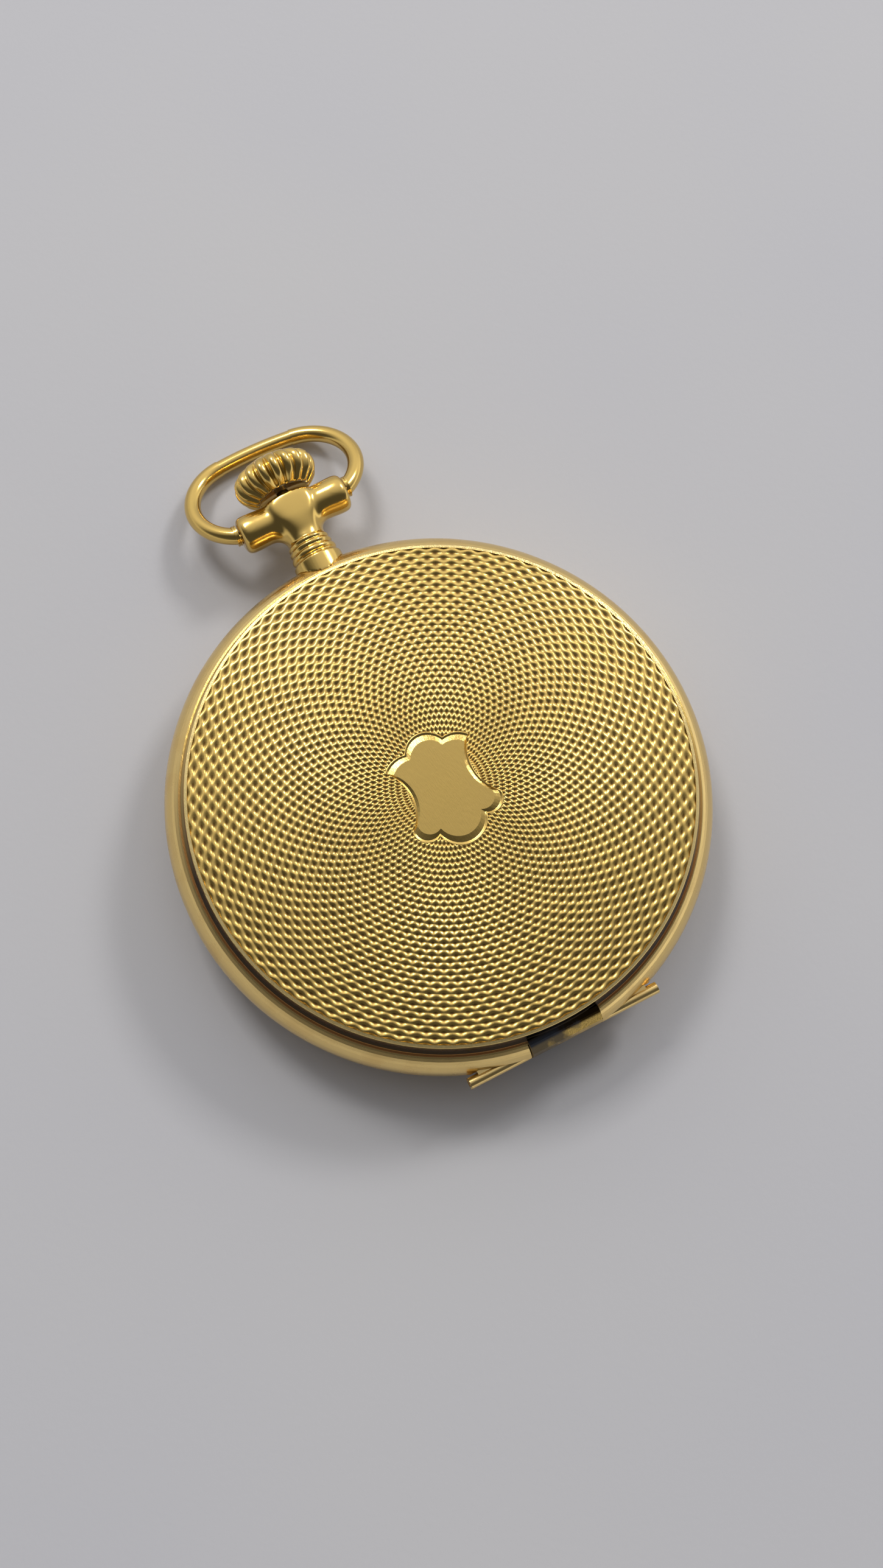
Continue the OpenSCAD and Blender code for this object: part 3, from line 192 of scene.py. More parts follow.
def blend(tree, factor, a, b):
    """A colour between two others."""
    return add_node(tree, "ShaderNodeMix", {"Factor": factor, "A": a, "B": b}, data_type="RGBA").outputs["Result"]


def bump(tree, strength, distance, height):
    ends = {"Strength": strength, "Distance": distance, "Height": height}
    return add_node(tree, "ShaderNodeBump", ends).outputs[0]


def start_material(name):
    """An empty material, its tree, and the coordinates that its patterns are drawn in."""
    made = bpy.data.materials.new(name)
    made.use_nodes = True
    tree = made.node_tree
    tree.nodes.clear()
    return made, tree, add_node(tree, "ShaderNodeTexCoord").outputs["Object"]


def end_material(made, surface):
    """Give the material its one shader, with the values and links for it."""
    tree = made.node_tree
    shader = add_node(tree, "ShaderNodeBsdfPrincipled", surface)
    add_node(tree, "ShaderNodeOutputMaterial", {"Surface": shader.outputs[0]})
    return made


def end_metal(made, colour, rough, normal):
    return end_material(made, {"Base Color": colour, "Metallic": 1.0, "Roughness": rough, "Normal": normal})


def polished_metal(name, base, rough, scratch=0.024, film=None, film_share=0.0, extra=None):
    """Metal polished by hand: faint cloth scratches and cloudy handling marks."""
    made, tree, place = start_material(name)
    # Handling marks are some 3 mm across, cloth scratches about 0.05 mm apart
    clouds = noise(tree, place, 330.0, 4.0)
    turn = {"Vector": place, "Rotation": (0.3, 0.2, 0.7), "Scale": (1.0, 9.0, 3.0)}
    stretched = add_node(tree, "ShaderNodeMapping", turn).outputs[0]
    normal = bump(tree, scratch, 0.06 * MM, noise(tree, stretched, 2200.0, 3.0))
    ground = base
    if film:
        ground = blend(tree, spread(tree, clouds, 0.5, 0.75, 0.0, film_share), base, film)
    roughness = spread(tree, clouds, 0.35, 0.68, rough * 0.9, rough * 1.15)
    if extra:
        ground, roughness = extra(tree, place, ground, roughness)
    return end_metal(made, ground, roughness, normal)


def cut_grime(tree, place, ground, rough):
    """Darkens the bottoms of the cuts: partly old polish and dirt that stay there, partly painted shade in the
    hollows.
    """
    depth = add_node(tree, "ShaderNodeAttribute", attribute_name="cut").outputs["Fac"]
    # The deeper the cut, the darker: old dirt and painted shade together
    share = spread(tree, depth, 0.4, 0.9, 0.0, 0.9)
    return blend(tree, share, ground, tone("grime")), calc(tree, "MULTIPLY_ADD", share, 0.25, rough)


def strap_tarnish(tree, place, ground, rough):
    """Painted dark reflection on the wall under the ridges, a painted warm reflection line at the seams, a painted
    highlight on the ridges that is partly pale wear, and a darkened hinge strap.
    """

    def ramp(value, low, high):
        """Rises from 0 at one place to 1 at another, in millimetres."""
        return spread(tree, value, low * MM, high * MM)

    axes = add_node(tree, "ShaderNodeSeparateXYZ", {"Vector": place}).outputs
    radius = calc(
        tree, "POWER", calc(tree, "MULTIPLY_ADD", axes["X"], axes["X"], product(tree, axes["Y"], axes["Y"])), 0.5
    )
    # Height over or under the case's middle: a ridge ends at 4.45 mm, a lip at 2.8 mm
    height = calc(tree, "ABSOLUTE", calc(tree, "SUBTRACT", axes["Z"], MID_Z * MM))
    # The painted dark reflection and the seam's painted line stay on the rim's half towards the hinges, which faces
    # the camera, and fade out over the pendant's half
    half = along(tree, place, (-UPWARD[0], -UPWARD[1], 0.0))
    outer = product(tree, ramp(radius, 23.03, 23.12), ramp(half, -6.0, 8.0))
    # Painted dark reflection on the steep wall under the ridge
    wall = product(tree, outer, ramp(height, 4.42, 4.28), ramp(height, 2.76, 2.9), 0.97)
    ground = blend(tree, wall, ground, tone("soot"))
    # Painted warm reflection line along the seam
    seam = product(tree, outer, ramp(height, 2.9, 2.7), ramp(axes["X"], -23.6, -23.2))
    ground = blend(tree, seam, ground, tone("copper"))
    # Painted highlight round the ridge, partly pale wear
    ridge = product(tree, ramp(radius, 22.84, 22.92), ramp(height, 4.38, 4.44))
    ground = blend(tree, ridge, ground, tone("rubbed"))
    # The strap is darkened in patches, most at the end towards 12 o'clock and not at all at the other
    fade = spread(tree, axes["Y"], -3.5 * MM, 3.0 * MM, -0.45, 0.3)
    patchy = calc(tree, "ADD", noise(tree, place, 900.0, 5.0), fade)
    film = product(tree, ramp(axes["X"], -23.2, -23.6), spread(tree, patchy, 0.3, 0.6), 0.8)
    return blend(tree, film, ground, tone("tarnish")), calc(tree, "MULTIPLY_ADD", film, 0.3, rough)


def striped_nickel(name):
    """Nickel plate over waved stripes from a turning lap: the light runs across it in bands."""
    made, tree, place = start_material(name)
    turn = {"Vector": place, "Rotation": (0.0, 0.0, math.radians(35))}
    turned = add_node(tree, "ShaderNodeMapping", turn).outputs[0]
    # Stripes are 3.2 mm wide; the lap's lines inside them are drawn 0.24 mm apart so that they show
    stripes = add_node(
        tree, "ShaderNodeTexWave", {"Vector": turned, "Scale": 98.0}, wave_type="BANDS", wave_profile="SAW"
    ).outputs["Fac"]
    fine = add_node(
        tree,
        "ShaderNodeTexWave",
        {"Vector": turned, "Scale": 1300.0, "Distortion": 1.5, "Detail": 2.0},
        wave_type="RINGS",
    ).outputs["Fac"]
    normal = bump(tree, 0.35, 0.06 * MM, calc(tree, "MULTIPLY_ADD", fine, 0.12, stripes))
    return end_metal(made, tone("nickel"), spread(tree, stripes, 0.0, 1.0, 0.18, 0.38), normal)


def snailed_steel(name, centre):
    """Steel wheel finished on a turning lap: curved rays run out from its middle, painted lighter and darker as a
    sheen.
    """
    made, tree, place = start_material(name)
    move = {"Vector": place, "Location": (-centre[0] * MM, -centre[1] * MM, 0.0)}
    moved = add_node(tree, "ShaderNodeMapping", move).outputs[0]
    angle = add_node(tree, "ShaderNodeTexGradient", {"Vector": moved}, gradient_type="RADIAL").outputs["Fac"]
    flat = add_node(tree, "ShaderNodeVectorMath", {0: moved, 1: (1.0, 1.0, 0.0)}, operation="MULTIPLY").outputs[0]
    radius = add_node(tree, "ShaderNodeVectorMath", {0: flat}, operation="LENGTH").outputs["Value"]
    # Sixteen rays, each bent by 0.4 of a ray for every millimetre outwards, with nine fine lines in each
    phase = calc(tree, "MULTIPLY_ADD", angle, 16 * TURN, product(tree, radius, 400 * TURN))
    rays = calc(tree, "SINE", phase)
    lines = calc(tree, "SINE", product(tree, phase, 9.0))
    # The rays are painted lighter and darker in colour: a painted sheen
    shade = blend(tree, spread(tree, rays, -1.0, 1.0, 0.0, 0.35), tone("steel"), linear("#7C7F86"))
    normal = bump(tree, 0.12, 0.03 * MM, lines)
    return end_metal(made, shade, spread(tree, rays, -1.0, 1.0, 0.2, 0.42), normal)


def spotted_gilt(name):
    """Gilt brass matted in overlapping spots, as the dial side and recesses of a plate are."""
    made, tree, place = start_material(name)
    # Spots are 0.8 mm across
    voronoi = {"Vector": place, "Scale": 1250.0, "Randomness": 0.35}
    spots = add_node(tree, "ShaderNodeTexVoronoi", voronoi).outputs["Distance"]
    grain = noise(tree, place, 6000.0)
    normal = bump(tree, 0.3, 0.05 * MM, calc(tree, "MULTIPLY_ADD", grain, 0.3, spots))
    return end_metal(made, tone("gilt"), spread(tree, spots, 0.0, 1.0, 0.3, 0.45), normal)


def dyed_ruby(name):
    """Synthetic ruby, polished: deep red that lets a little light in."""
    made, tree, place = start_material(name)
    tint = blend(tree, noise(tree, place, 1500.0), tone("ruby"), linear("#7A0A2A"))
    return end_material(made, {"Base Color": tint, "Roughness": 0.06, "IOR": 1.76, "Transmission Weight": 0.35})


def fired_enamel(name):
    """White fired enamel: glossy, with a faint waviness from the kiln."""
    made, tree, place = start_material(name)
    waviness = noise(tree, place, 260.0, 1.0)
    surface = {
        "Base Color": blend(tree, waviness, tone("enamel"), linear("#EFE9DB")),
        "Roughness": 0.12,
        "Coat Weight": 0.6,
        "Coat Roughness": 0.04,
        "Normal": bump(tree, 0.15, 0.1 * MM, waviness),
    }
    return end_material(made, surface)


def dial_ink(name):
    """Black dial paint, fired into the enamel: dark with a dull gloss."""
    made, tree, place = start_material(name)
    tint = blend(tree, noise(tree, place, 4000.0), linear("#101014"), linear("#24242A"))
    return end_material(made, {"Base Color": tint, "Roughness": 0.35})


def watch_glass(name):
    """Thin ground crystal: clear, with a few hairline marks."""
    made, tree, place = start_material(name)
    surface = {
        "Base Color": linear("#F7FBFA"),
        "Roughness": spread(tree, noise(tree, place, 700.0, 4.0), 0.5, 0.8, 0.0, 0.05),
        "IOR": 1.5,
        "Transmission Weight": 1.0,
    }
    return end_material(made, surface)


def sheet_of_paper(name):
    """Cartridge paper: a faint lilac grey with soft fibres."""
    made, tree, place = start_material(name)
    # The fibres are about 0.6 mm wide and the soft clouds 40 mm across
    surface = {
        "Base Color": blend(tree, noise(tree, place, 25.0, 1.0), tone("paper"), linear("#C9C8C8")),
        "Roughness": 0.85,
        "Normal": bump(tree, 0.12, 0.1 * MM, noise(tree, place, 1600.0, 6.0)),
    }
    return end_material(made, surface)


# How each finish is made, from its material's name
MAKERS = {
    "gold_polished": lambda name: polished_metal(name, tone("gold"), 0.17),
    "gold_cover": lambda name: polished_metal(name, tone("gold"), 0.18, scratch=0.26, extra=strap_tarnish),
    "gold_engraved": lambda name: polished_metal(name, tone("gold"), 0.26, scratch=0.008, extra=cut_grime),
    "gold_pale_band": lambda name: polished_metal(
        name, tone("pale_gold"), 0.26, film=linear("#C99A55"), film_share=0.25
    ),
    "gold_screw": lambda name: polished_metal(name, linear("#D8A648"), 0.2),
    "brass_gilt": spotted_gilt,
    "nickel_striped": striped_nickel,
    "steel_polished": lambda name: polished_metal(name, tone("steel"), 0.2),
    "steel_snailed_ratchet": lambda name: snailed_steel(name, RATCHET_AT),
    "steel_snailed_crown": lambda name: snailed_steel(name, CROWN_WHEEL_AT),
    "steel_blued": lambda name: polished_metal(name, tone("blued"), 0.22),
    "ruby_polished": dyed_ruby,
    "enamel_fired": fired_enamel,
    "ink_dial": dial_ink,
    "glass_crystal": watch_glass,
    "paper_sheet": sheet_of_paper,
}


def finish(name):
    """The named material, made once."""
    return bpy.data.materials.get(name) or MAKERS[name](name)


FINISHES = {
    "gold_polished": ["pendant", "bow", "cuvette", "bezel", "crown"],
    "gold_cover": ["front_cover", "back_cover"],
    "gold_pale_band": ["case_band"],
    "gold_screw": ["balance_screws"],
    "brass_gilt": [
        "main_plate",
        "mainspring_barrel",
        "barrel_lid",
        "centre_wheel",
        "third_wheel",
        "fourth_wheel",
        "minute_wheel",
        "hour_wheel",
        "balance_wheel",
    ],
    "nickel_striped": ["barrel_bridge", "train_bridge", "balance_cock", "pallet_bridge"],
    "steel_polished": [
        "pendant_sleeve",
        "front_hinge_pin",
        "back_hinge_pin",
        "stem",
        "lift_spring",
        "lock_spring",
        "mainspring",
        "barrel_arbor",
        "crown_wheel_core",
        "click",
        "click_spring",
        "winding_pinion",
        "clutch_wheel",
        "setting_lever",
        "yoke",
        "setting_wheel",
        "escape_wheel",
        "pallet_fork",
        "balance_staff",
        "hairspring_stud",
        "regulator",
        "cannon_pinion",
    ],
    "steel_snailed_ratchet": ["ratchet_wheel"],
    "steel_snailed_crown": ["crown_wheel"],
    "steel_blued": ["case_screws", "bridge_screws", "hairspring", "hour_hand", "minute_hand", "seconds_hand"],
    "ruby_polished": ["jewels", "pallet_stones"],
    "enamel_fired": ["dial"],
    "glass_crystal": ["crystal"],
}


def new_piece(name, bm, material, body):
    """Turn a bmesh into a piece at the origin that rides on a body."""
    mesh = bpy.data.meshes.new(name)
    bm.to_mesh(mesh)
    bm.free()
    mesh.polygons.foreach_set("use_smooth", [True] * len(mesh.polygons))
    mesh.materials.append(finish(material))
    made = bpy.data.objects.new(name, mesh)
    bpy.context.scene.collection.objects.link(made)
    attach(made, body)
    return made


def set_sharp(made, angle):
    """Keep the edges that turn by more than an angle, in degrees, sharp."""
    made.data.set_sharp_from_angle(angle=math.radians(angle))


def set_flat(made):
    made.data.polygons.foreach_set("use_smooth", [False] * len(made.data.polygons))


def spun(points, steps):
    """Spin a closed half profile, given as radius and height in millimetres, once round the Z axis."""
    bm = bmesh.new()
    verts = [bm.verts.new((r * MM, 0.0, z * MM)) for r, z in points]
    edges = [bm.edges.new((a, b)) for a, b in zip(verts, verts[1:] + verts[:1])]
    bmesh.ops.spin(
        bm, geom=verts + edges, cent=(0, 0, 0), axis=(0, 0, 1), angle=TURN, steps=steps, use_merge=True
    )
    bmesh.ops.remove_doubles(bm, verts=bm.verts, dist=1e-7)
    bmesh.ops.recalc_face_normals(bm, faces=bm.faces)
    return bm


def dome(radius):
    """Height of a cover's dome over its ridge, at one radius or at an array of them."""
    return np.sqrt(DOME_R**2 - radius**2) - (DOME_R - DOME_RISE)


def clamp(value):
    """The value kept between 0 and 1."""
    return min(1.0, max(0.0, value))


def arc(centre, radius, start, end, count):
    """Points along an arc, in millimetres."""
    turns = [math.radians(start + (end - start) * i / count) for i in range(count + 1)]
    return [(centre[0] + radius * math.cos(a), centre[1] + radius * math.sin(a)) for a in turns]


def shield_outline(grow):
    """Outline of the plain shield, made larger by a factor."""
    half = (
        arc((2.805, 0), 1.745, 0, 66.5, 6)
        + arc((1.533, 2.062), 2.02, -4.5, 47.4, 6)
        + arc((0.453, 6.272), 3.66, -55.4, -129, 10)
        + arc((-2.305, 2.607), 1.148, 84.7, 211.9, 9)
        + arc((-2.724, 0), 2.076, 116, 180, 6)
    )
    whole = half + [(x, -y) for x, y in half[-2:0:-1]]
    return [(x * grow, y * grow) for x, y in whole]


def inside(x, y, outline):
    """Which points lie inside an outline, by counting the edges crossed."""
    hit = np.zeros(len(x), bool)
    for (x0, y0), (x1, y1) in zip(outline, outline[1:] + outline[:1]):
        if y0 == y1:
            continue
        crosses = (y0 > y) != (y1 > y)
        hit ^= crosses & (x < (x1 - x0) * (y - y0) / (y1 - y0) + x0)
    return hit


def relief(x, y):
    """Depth of the barleycorn cutting under the dome at each point, in millimetres, and as a share."""
    s = sizes()
    pitch, depth, reach = s.ring_pitch / MM, s.cut_depth / MM, s.wave_reach
    rings = np.hypot(x, y) / pitch
    swing = reach * np.sin(s.waves * np.arctan2(y, x))

    def line(n):
        return n + swing * (1 - 2 * np.mod(n, 2))

    n = np.floor(rings)
    n = np.where(rings < line(n), n - 1, n)
    n = np.where(rings >= line(n + 1), n + 1, n)
    width = line(n + 1) - line(n)
    # A hollow takes 0.86 of the width between two lines, and ends where they are closer than a fifth of the widest
    across = np.minimum(np.abs(2 * (rings - line(n)) / width - 1) / 0.86, 1)
    belly = np.maximum(0, (width / (1 + 2 * reach) - 0.2) / 0.8)
    share = belly * (0.5 + 0.5 * np.cos(math.pi * across))
    return depth * share, share


def engraved_ring(name, r0, r1, rows, body, front):
    """One ring of a dome's engraving: a thin closed ring that fills the sunk field of the cover."""
    columns_per_wave = 8
    columns = columns_per_wave * sizes().waves
    # The ring's underside lies this far into the cover, and its top a hair under the dome
    below, hair = 0.03, 0.004
    radii = [r0 + (r1 - r0) * i / rows for i in range(rows + 1)]
    profile = [(r, dome(r)) for r in radii]
    profile += [(r, dome(r) - SUNK - below) for r in (r1, (r0 + r1) / 2, r0)] + profile[:1]
    bm = bmesh.new()
    bmesh.ops.create_grid(bm, x_segments=columns, y_segments=len(profile) - 1, size=0.5)
    mesh = bpy.data.meshes.new("bent_grid")
    bm.to_mesh(mesh)
    co = np.empty(len(mesh.vertices) * 3)
    mesh.vertices.foreach_get("co", co)
    co = co.reshape(-1, 3)
    angle = (co[:, 0] + 0.5) * TURN
    row = np.rint((co[:, 1] + 0.5) * (len(profile) - 1)).astype(int)
    radius, height = np.array(profile)[row].T
    co = np.column_stack((radius * np.cos(angle), radius * np.sin(angle), height))
    level = dome(radius)
    top = height > level - 0.5 * SUNK
    depth, share = relief(co[:, 0], co[:, 1])
    if front:
        shield = inside(co[:, 0], co[:, 1], shield_outline(RINGS_STOP))
        depth = np.where(shield, BURIED - hair, depth)
    co[:, 2] = np.where(top, level - depth - hair, co[:, 2])
    if front:
        co[:, 2] += RIDGE_Z
    else:
        co[:, 2] = dome(REST_R) - co[:, 2]
        co[:, 1] = -co[:, 1]
    mesh.vertices.foreach_set("co", (co * MM).ravel())
    cut = mesh.attributes.new("cut", "FLOAT", "POINT")
    cut.data.foreach_set("value", np.where(top, share, 1.0).astype(np.float32))
    bm.clear()
    bm.from_mesh(mesh)
    bpy.data.meshes.remove(mesh)
    bmesh.ops.remove_doubles(bm, verts=bm.verts, dist=1e-8)
    bmesh.ops.recalc_face_normals(bm, faces=bm.faces)
    made = new_piece(name, bm, "gold_engraved", body)
    set_sharp(made, 75)


def shield_groove():
    """Rounded channel round the plain shield, with a soft lip on either side."""
    # Each row is a factor on the shield's outline and a height over the dome
    section = [(1.0, -0.012), (1.02, -0.035), (1.04, -0.085), (1.07, -0.12), (1.1, -0.12), (1.13, -0.085)]
    section += [(1.15, -0.03), (1.162, -0.004), (1.178, -0.004), (1.19, -0.04)]
    section += [(LIP_END, -BURIED), (1.0, -BURIED)]
    bm = bmesh.new()
    loops = []
    for grow, drop in section:
        verts = []
        for x, y in shield_outline(grow):
            z = RIDGE_Z + dome(math.hypot(x, y)) + drop
            verts.append(bm.verts.new((x * MM, y * MM, z * MM)))
        loops.append([bm.edges.new((a, b)) for a, b in zip(verts, verts[1:] + verts[:1])])
    for a, b in zip(loops, loops[1:] + loops[:1]):
        bmesh.ops.bridge_loops(bm, edges=a + b)
    bmesh.ops.recalc_face_normals(bm, faces=bm.faces)
    made = new_piece("shield_groove", bm, "gold_engraved", "front_cover")
    set_sharp(made, 50)


class WATCH_OT_engraving(bpy.types.Operator):
    """Engine-turned barleycorn on both domes"""

    bl_idname = "watch.engraving"
    bl_label = "Engraved domes"

    def execute(self, context):
        # The first ring starts under the shield, the last ones end just inside the ridge
        under_shield, inner, outer = 2.3, 9.1, 15.9
        rest, middle = REST_R + 0.02, 14.2
        edge = FIELD_R - 0.01
        engraved_ring("front_engraving_middle", under_shield, inner, 132, "front_cover", True)
        engraved_ring("front_engraving_wide", inner, outer, 132, "front_cover", True)
        engraved_ring("front_engraving_edge", outer, edge, 132, "front_cover", True)
        shield_groove()
        engraved_ring("back_engraving_middle", rest, middle, 108, "back_cover", False)
        engraved_ring("back_engraving_edge", middle, edge, 98, "back_cover", False)
        return {"FINISHED"}


def smooth_line(points, steps):
    """A smooth curve through points, with a number of steps between neighbours."""
    ends = [points[0]] + points + [points[-1]]
    line = []
    for a, b, c, d in zip(ends, ends[1:], ends[2:], ends[3:]):
        for i in range(steps):
            t = i / steps
            line.append(
                tuple(
                    0.5 * (2 * q + (r - p) * t + (2 * p - 5 * q + 4 * r - s) * t * t + (3 * q - p - 3 * r + s) * t**3)
                    for p, q, r, s in zip(a, b, c, d)
                )
            )
    return line + [points[-1]]


class WATCH_OT_pendant(bpy.types.Operator):
    """Pendant with the soft, hand-polished flow from its neck into the horns"""

    bl_idname = "watch.pendant"
    bl_label = "Pendant"

    def execute(self, context):
        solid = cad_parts["pendant"]
        context.view_layer.update()
        bm = bmesh.new()
        bm.from_mesh(solid.data)
        bmesh.ops.transform(bm, matrix=solid.matrix_world, verts=bm.verts)
        bmesh.ops.remove_doubles(bm, verts=bm.verts, dist=1e-7)
        mesh = bpy.data.meshes.new("pendant_rough")
        bm.to_mesh(mesh)
        holder = bpy.data.objects.new("pendant_rough", mesh)
        context.scene.collection.objects.link(holder)
        remesh = holder.modifiers.new("even_faces", "REMESH")
        remesh.mode = "VOXEL"
        remesh.voxel_size = 0.085 * MM
        context.view_layer.update()
        even = bpy.data.meshes.new_from_object(holder.evaluated_get(context.evaluated_depsgraph_get()))
        bpy.data.objects.remove(holder)
        bpy.data.meshes.remove(mesh)
        bm.clear()
        bm.from_mesh(even)
        bpy.data.meshes.remove(even)
        # The yoke beyond the beads is no thicker than its horns, and rounder than the neck
        beads_end, thick = 28.1, 1.7
        yoke = [v for v in bm.verts if v.co.x > beads_end * MM]
        for v in yoke:
            rise = abs(v.co.z / MM - MID_Z)
            if rise > thick:
                rise = thick + 0.4 * math.tanh((rise - thick) / 0.5)
                v.co.z = (MID_Z + math.copysign(rise, v.co.z / MM - MID_Z)) * MM
            # The horns swell a little between the yoke and their lips
            swell = 1 + 0.07 * math.sin(math.pi * clamp((abs(v.co.y) / MM - 1.6) / 3.9))
            v.co.x = (BOW_X + (v.co.x / MM - BOW_X) * swell) * MM
            v.co.z = (MID_Z + (v.co.z / MM - MID_Z) * swell) * MM
        for verts in [yoke] * 40 + [bm.verts] * 3:
            bmesh.ops.smooth_vert(bm, verts=verts, factor=0.5, use_axis_x=True, use_axis_y=True, use_axis_z=True)
        bmesh.ops.recalc_face_normals(bm, faces=bm.faces)
        made = new_piece("pendant_polished", bm, "gold_polished", "case")
        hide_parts("pendant")
        return {"FINISHED"}


class WATCH_OT_crown(bpy.types.Operator):
    """Fluted crown with rounded ribs that run in towards the pendant"""

    bl_idname = "watch.crown"
    bl_label = "Crown"

    def execute(self, context):
        s = sizes()
        outer = smooth_line(
            [(2.75, 0.02), (3.08, 0.25), (3.7, 0.8), (4.02, 1.4), (4.1, 1.95), (4.0, 2.5), (3.6, 3.0), (3.0, 3.3)], 5
        )
        cap = smooth_line([(2.66, 3.36), (2.45, 3.55), (1.6, 3.8), (0.8, 3.91)], 4)
        profile = [(0.0, 0.35), (2.45, 0.35), (2.45, 0.0)] + outer + cap + [(0.0, 3.95)]
        bm = spun(profile, 16 * s.crown_flutes)
        depth = s.flute_depth / MM
        for v in bm.verts:
            r = math.hypot(v.co.x, v.co.y) / MM
            z = v.co.z / MM
            if r < 2.6:
                continue
            # The flutes start at the face towards the pendant and run out under the cap
            start = clamp(z / 0.3 + 0.35)
            end = clamp((3.32 - z) / 0.55) ** 0.6
            rib = abs(math.cos(0.5 * s.crown_flutes * math.atan2(v.co.y, v.co.x)))
            cut = depth * start * end * (1 - rib**0.9) ** 1.1
            v.co.x *= (r - cut) / r
            v.co.y *= (r - cut) / r
        place = Matrix.Translation((CROWN_X * MM, 0, MID_Z * MM)) @ Matrix.Rotation(math.radians(90), 4, "Y")
        bmesh.ops.transform(bm, matrix=place, verts=bm.verts)
        bmesh.ops.recalc_face_normals(bm, faces=bm.faces)
        made = new_piece("crown_fluted", bm, "gold_polished", "crown")
        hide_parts("crown")
        return {"FINISHED"}


def add_text(bm, words, height, x, y, z):
    """Stand plain figures, as thin mesh and a little bolder than the font, at a place on the dial."""
    curve = bpy.data.curves.new("figure", "FONT")
    curve.body = words
    curve.size = height
    curve.extrude = PAINT * MM
    curve.offset = 0.014 * height
    curve.align_x = "CENTER"
    curve.align_y = "CENTER"
    holder = bpy.data.objects.new("figure", curve)
    bpy.context.scene.collection.objects.link(holder)
    bpy.context.view_layer.update()
    mesh = bpy.data.meshes.new_from_object(holder.evaluated_get(bpy.context.evaluated_depsgraph_get()))
    mesh.transform(Matrix.Translation((x, y, z)))
    bm.from_mesh(mesh)
    bpy.data.objects.remove(holder)
    bpy.data.curves.remove(curve)
    bpy.data.meshes.remove(mesh)


def add_mark(bm, radius, angle, length, width, centre=(0.0, 0.0), base=DIAL_TOP):
    """A thin radial line of paint, its sizes in millimetres."""
    place = (
        Matrix.Translation((centre[0] * MM, centre[1] * MM, (base + PAINT / 2) * MM))
        @ Matrix.Rotation(angle, 4, "Z")
        @ Matrix.Translation((radius * MM, 0, 0))
        @ Matrix.Diagonal((length * MM, width * MM, 2 * PAINT * MM, 1))
    )
    bmesh.ops.create_cube(bm, size=1.0, matrix=place)


def add_circle(bm, radius, width, centre=(0.0, 0.0), base=DIAL_TOP):
    """A thin painted circle on the dial."""
    low, high, outer = base - PAINT, base + 1.2 * PAINT, radius + width
    ring = spun([(radius, low), (outer, low), (outer, high), (radius, high)], 144)
    bmesh.ops.translate(ring, verts=ring.verts, vec=(centre[0] * MM, centre[1] * MM, 0))
    mesh = bpy.data.meshes.new("circle")
    ring.to_mesh(mesh)
    ring.free()
    bm.from_mesh(mesh)
    bpy.data.meshes.remove(mesh)


class WATCH_OT_dial_print(bpy.types.Operator):
    """Painted hour figures, minute track and seconds track"""

    bl_idname = "watch.dial_print"
    bl_label = "Dial printing"

    def execute(self, context):
        s = sizes()
        bm = bmesh.new()
        # The seconds dial takes the place of the six
        for hour in (1, 2, 3, 4, 5, 7, 8, 9, 10, 11, 12):
            a = math.radians(90 - 30 * hour)
            x, y = s.numeral_ring * math.cos(a), s.numeral_ring * math.sin(a)
            add_text(bm, str(hour), s.numeral_height, x, y, (DIAL_TOP + PAINT / 2) * MM)
        track = s.track_ring / MM
        add_circle(bm, track, 0.08)
        add_circle(bm, track + 1.0, 0.08)
        for minute in range(60):
            wide = 0.3 if minute % 5 == 0 else 0.09
            add_mark(bm, track + 0.54, math.radians(6 * minute), 0.96, wide)
        made = new_piece("dial_figures", bm, "ink_dial", "case")
        set_flat(made)
        bm = bmesh.new()
        add_circle(bm, 4.75, 0.05, SECONDS_AT, SECONDS_TOP)
        add_circle(bm, 4.15, 0.04, SECONDS_AT, SECONDS_TOP)
        for second in range(60):
            wide = 0.12 if second % 5 == 0 else 0.05
            add_mark(bm, 4.47, math.radians(6 * second), 0.58, wide, SECONDS_AT, SECONDS_TOP)
        for value in (15, 30, 45, 60):
            a = math.radians(90 - 6 * value)
            x, y = SECONDS_AT[0] + 3.35 * math.cos(a), SECONDS_AT[1] + 3.35 * math.sin(a)
            add_text(bm, str(value), 1.05 * MM, x * MM, y * MM, (SECONDS_TOP + PAINT / 2) * MM)
        made = new_piece("seconds_figures", bm, "ink_dial", "case")
        set_flat(made)
        return {"FINISHED"}


class WATCH_OT_finishes(bpy.types.Operator):
    """Metals, ruby, enamel and glass on the carried-over solids"""

    bl_idname = "watch.finishes"
    bl_label = "Finishes"

    def execute(self, context):
        left = set(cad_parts)
        for name, nodes in FINISHES.items():
            for node in nodes:
                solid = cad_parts[node]
                if not solid.material_slots:
                    raise RuntimeError(f"{node} has no material slot")
                for slot in solid.material_slots:
                    slot.material = finish(name)
                left.discard(node)
        if left:
            raise RuntimeError(f"no finish for {sorted(left)}")
        return {"FINISHED"}


def add_lamp(name, at, aim, wide, tall, watts, tint):
    """A soft rectangular lamp that looks at a point."""
    data = bpy.data.lights.new(name, "AREA")
    data.shape = "RECTANGLE"
    data.size = wide
    data.size_y = tall
    data.energy = watts
    data.color = tint
    made = bpy.data.objects.new(name, data)
    made.location = at
    made.rotation_euler = (Vector(aim) - Vector(at)).to_track_quat("-Z", "Y").to_euler()
    bpy.context.scene.collection.objects.link(made)


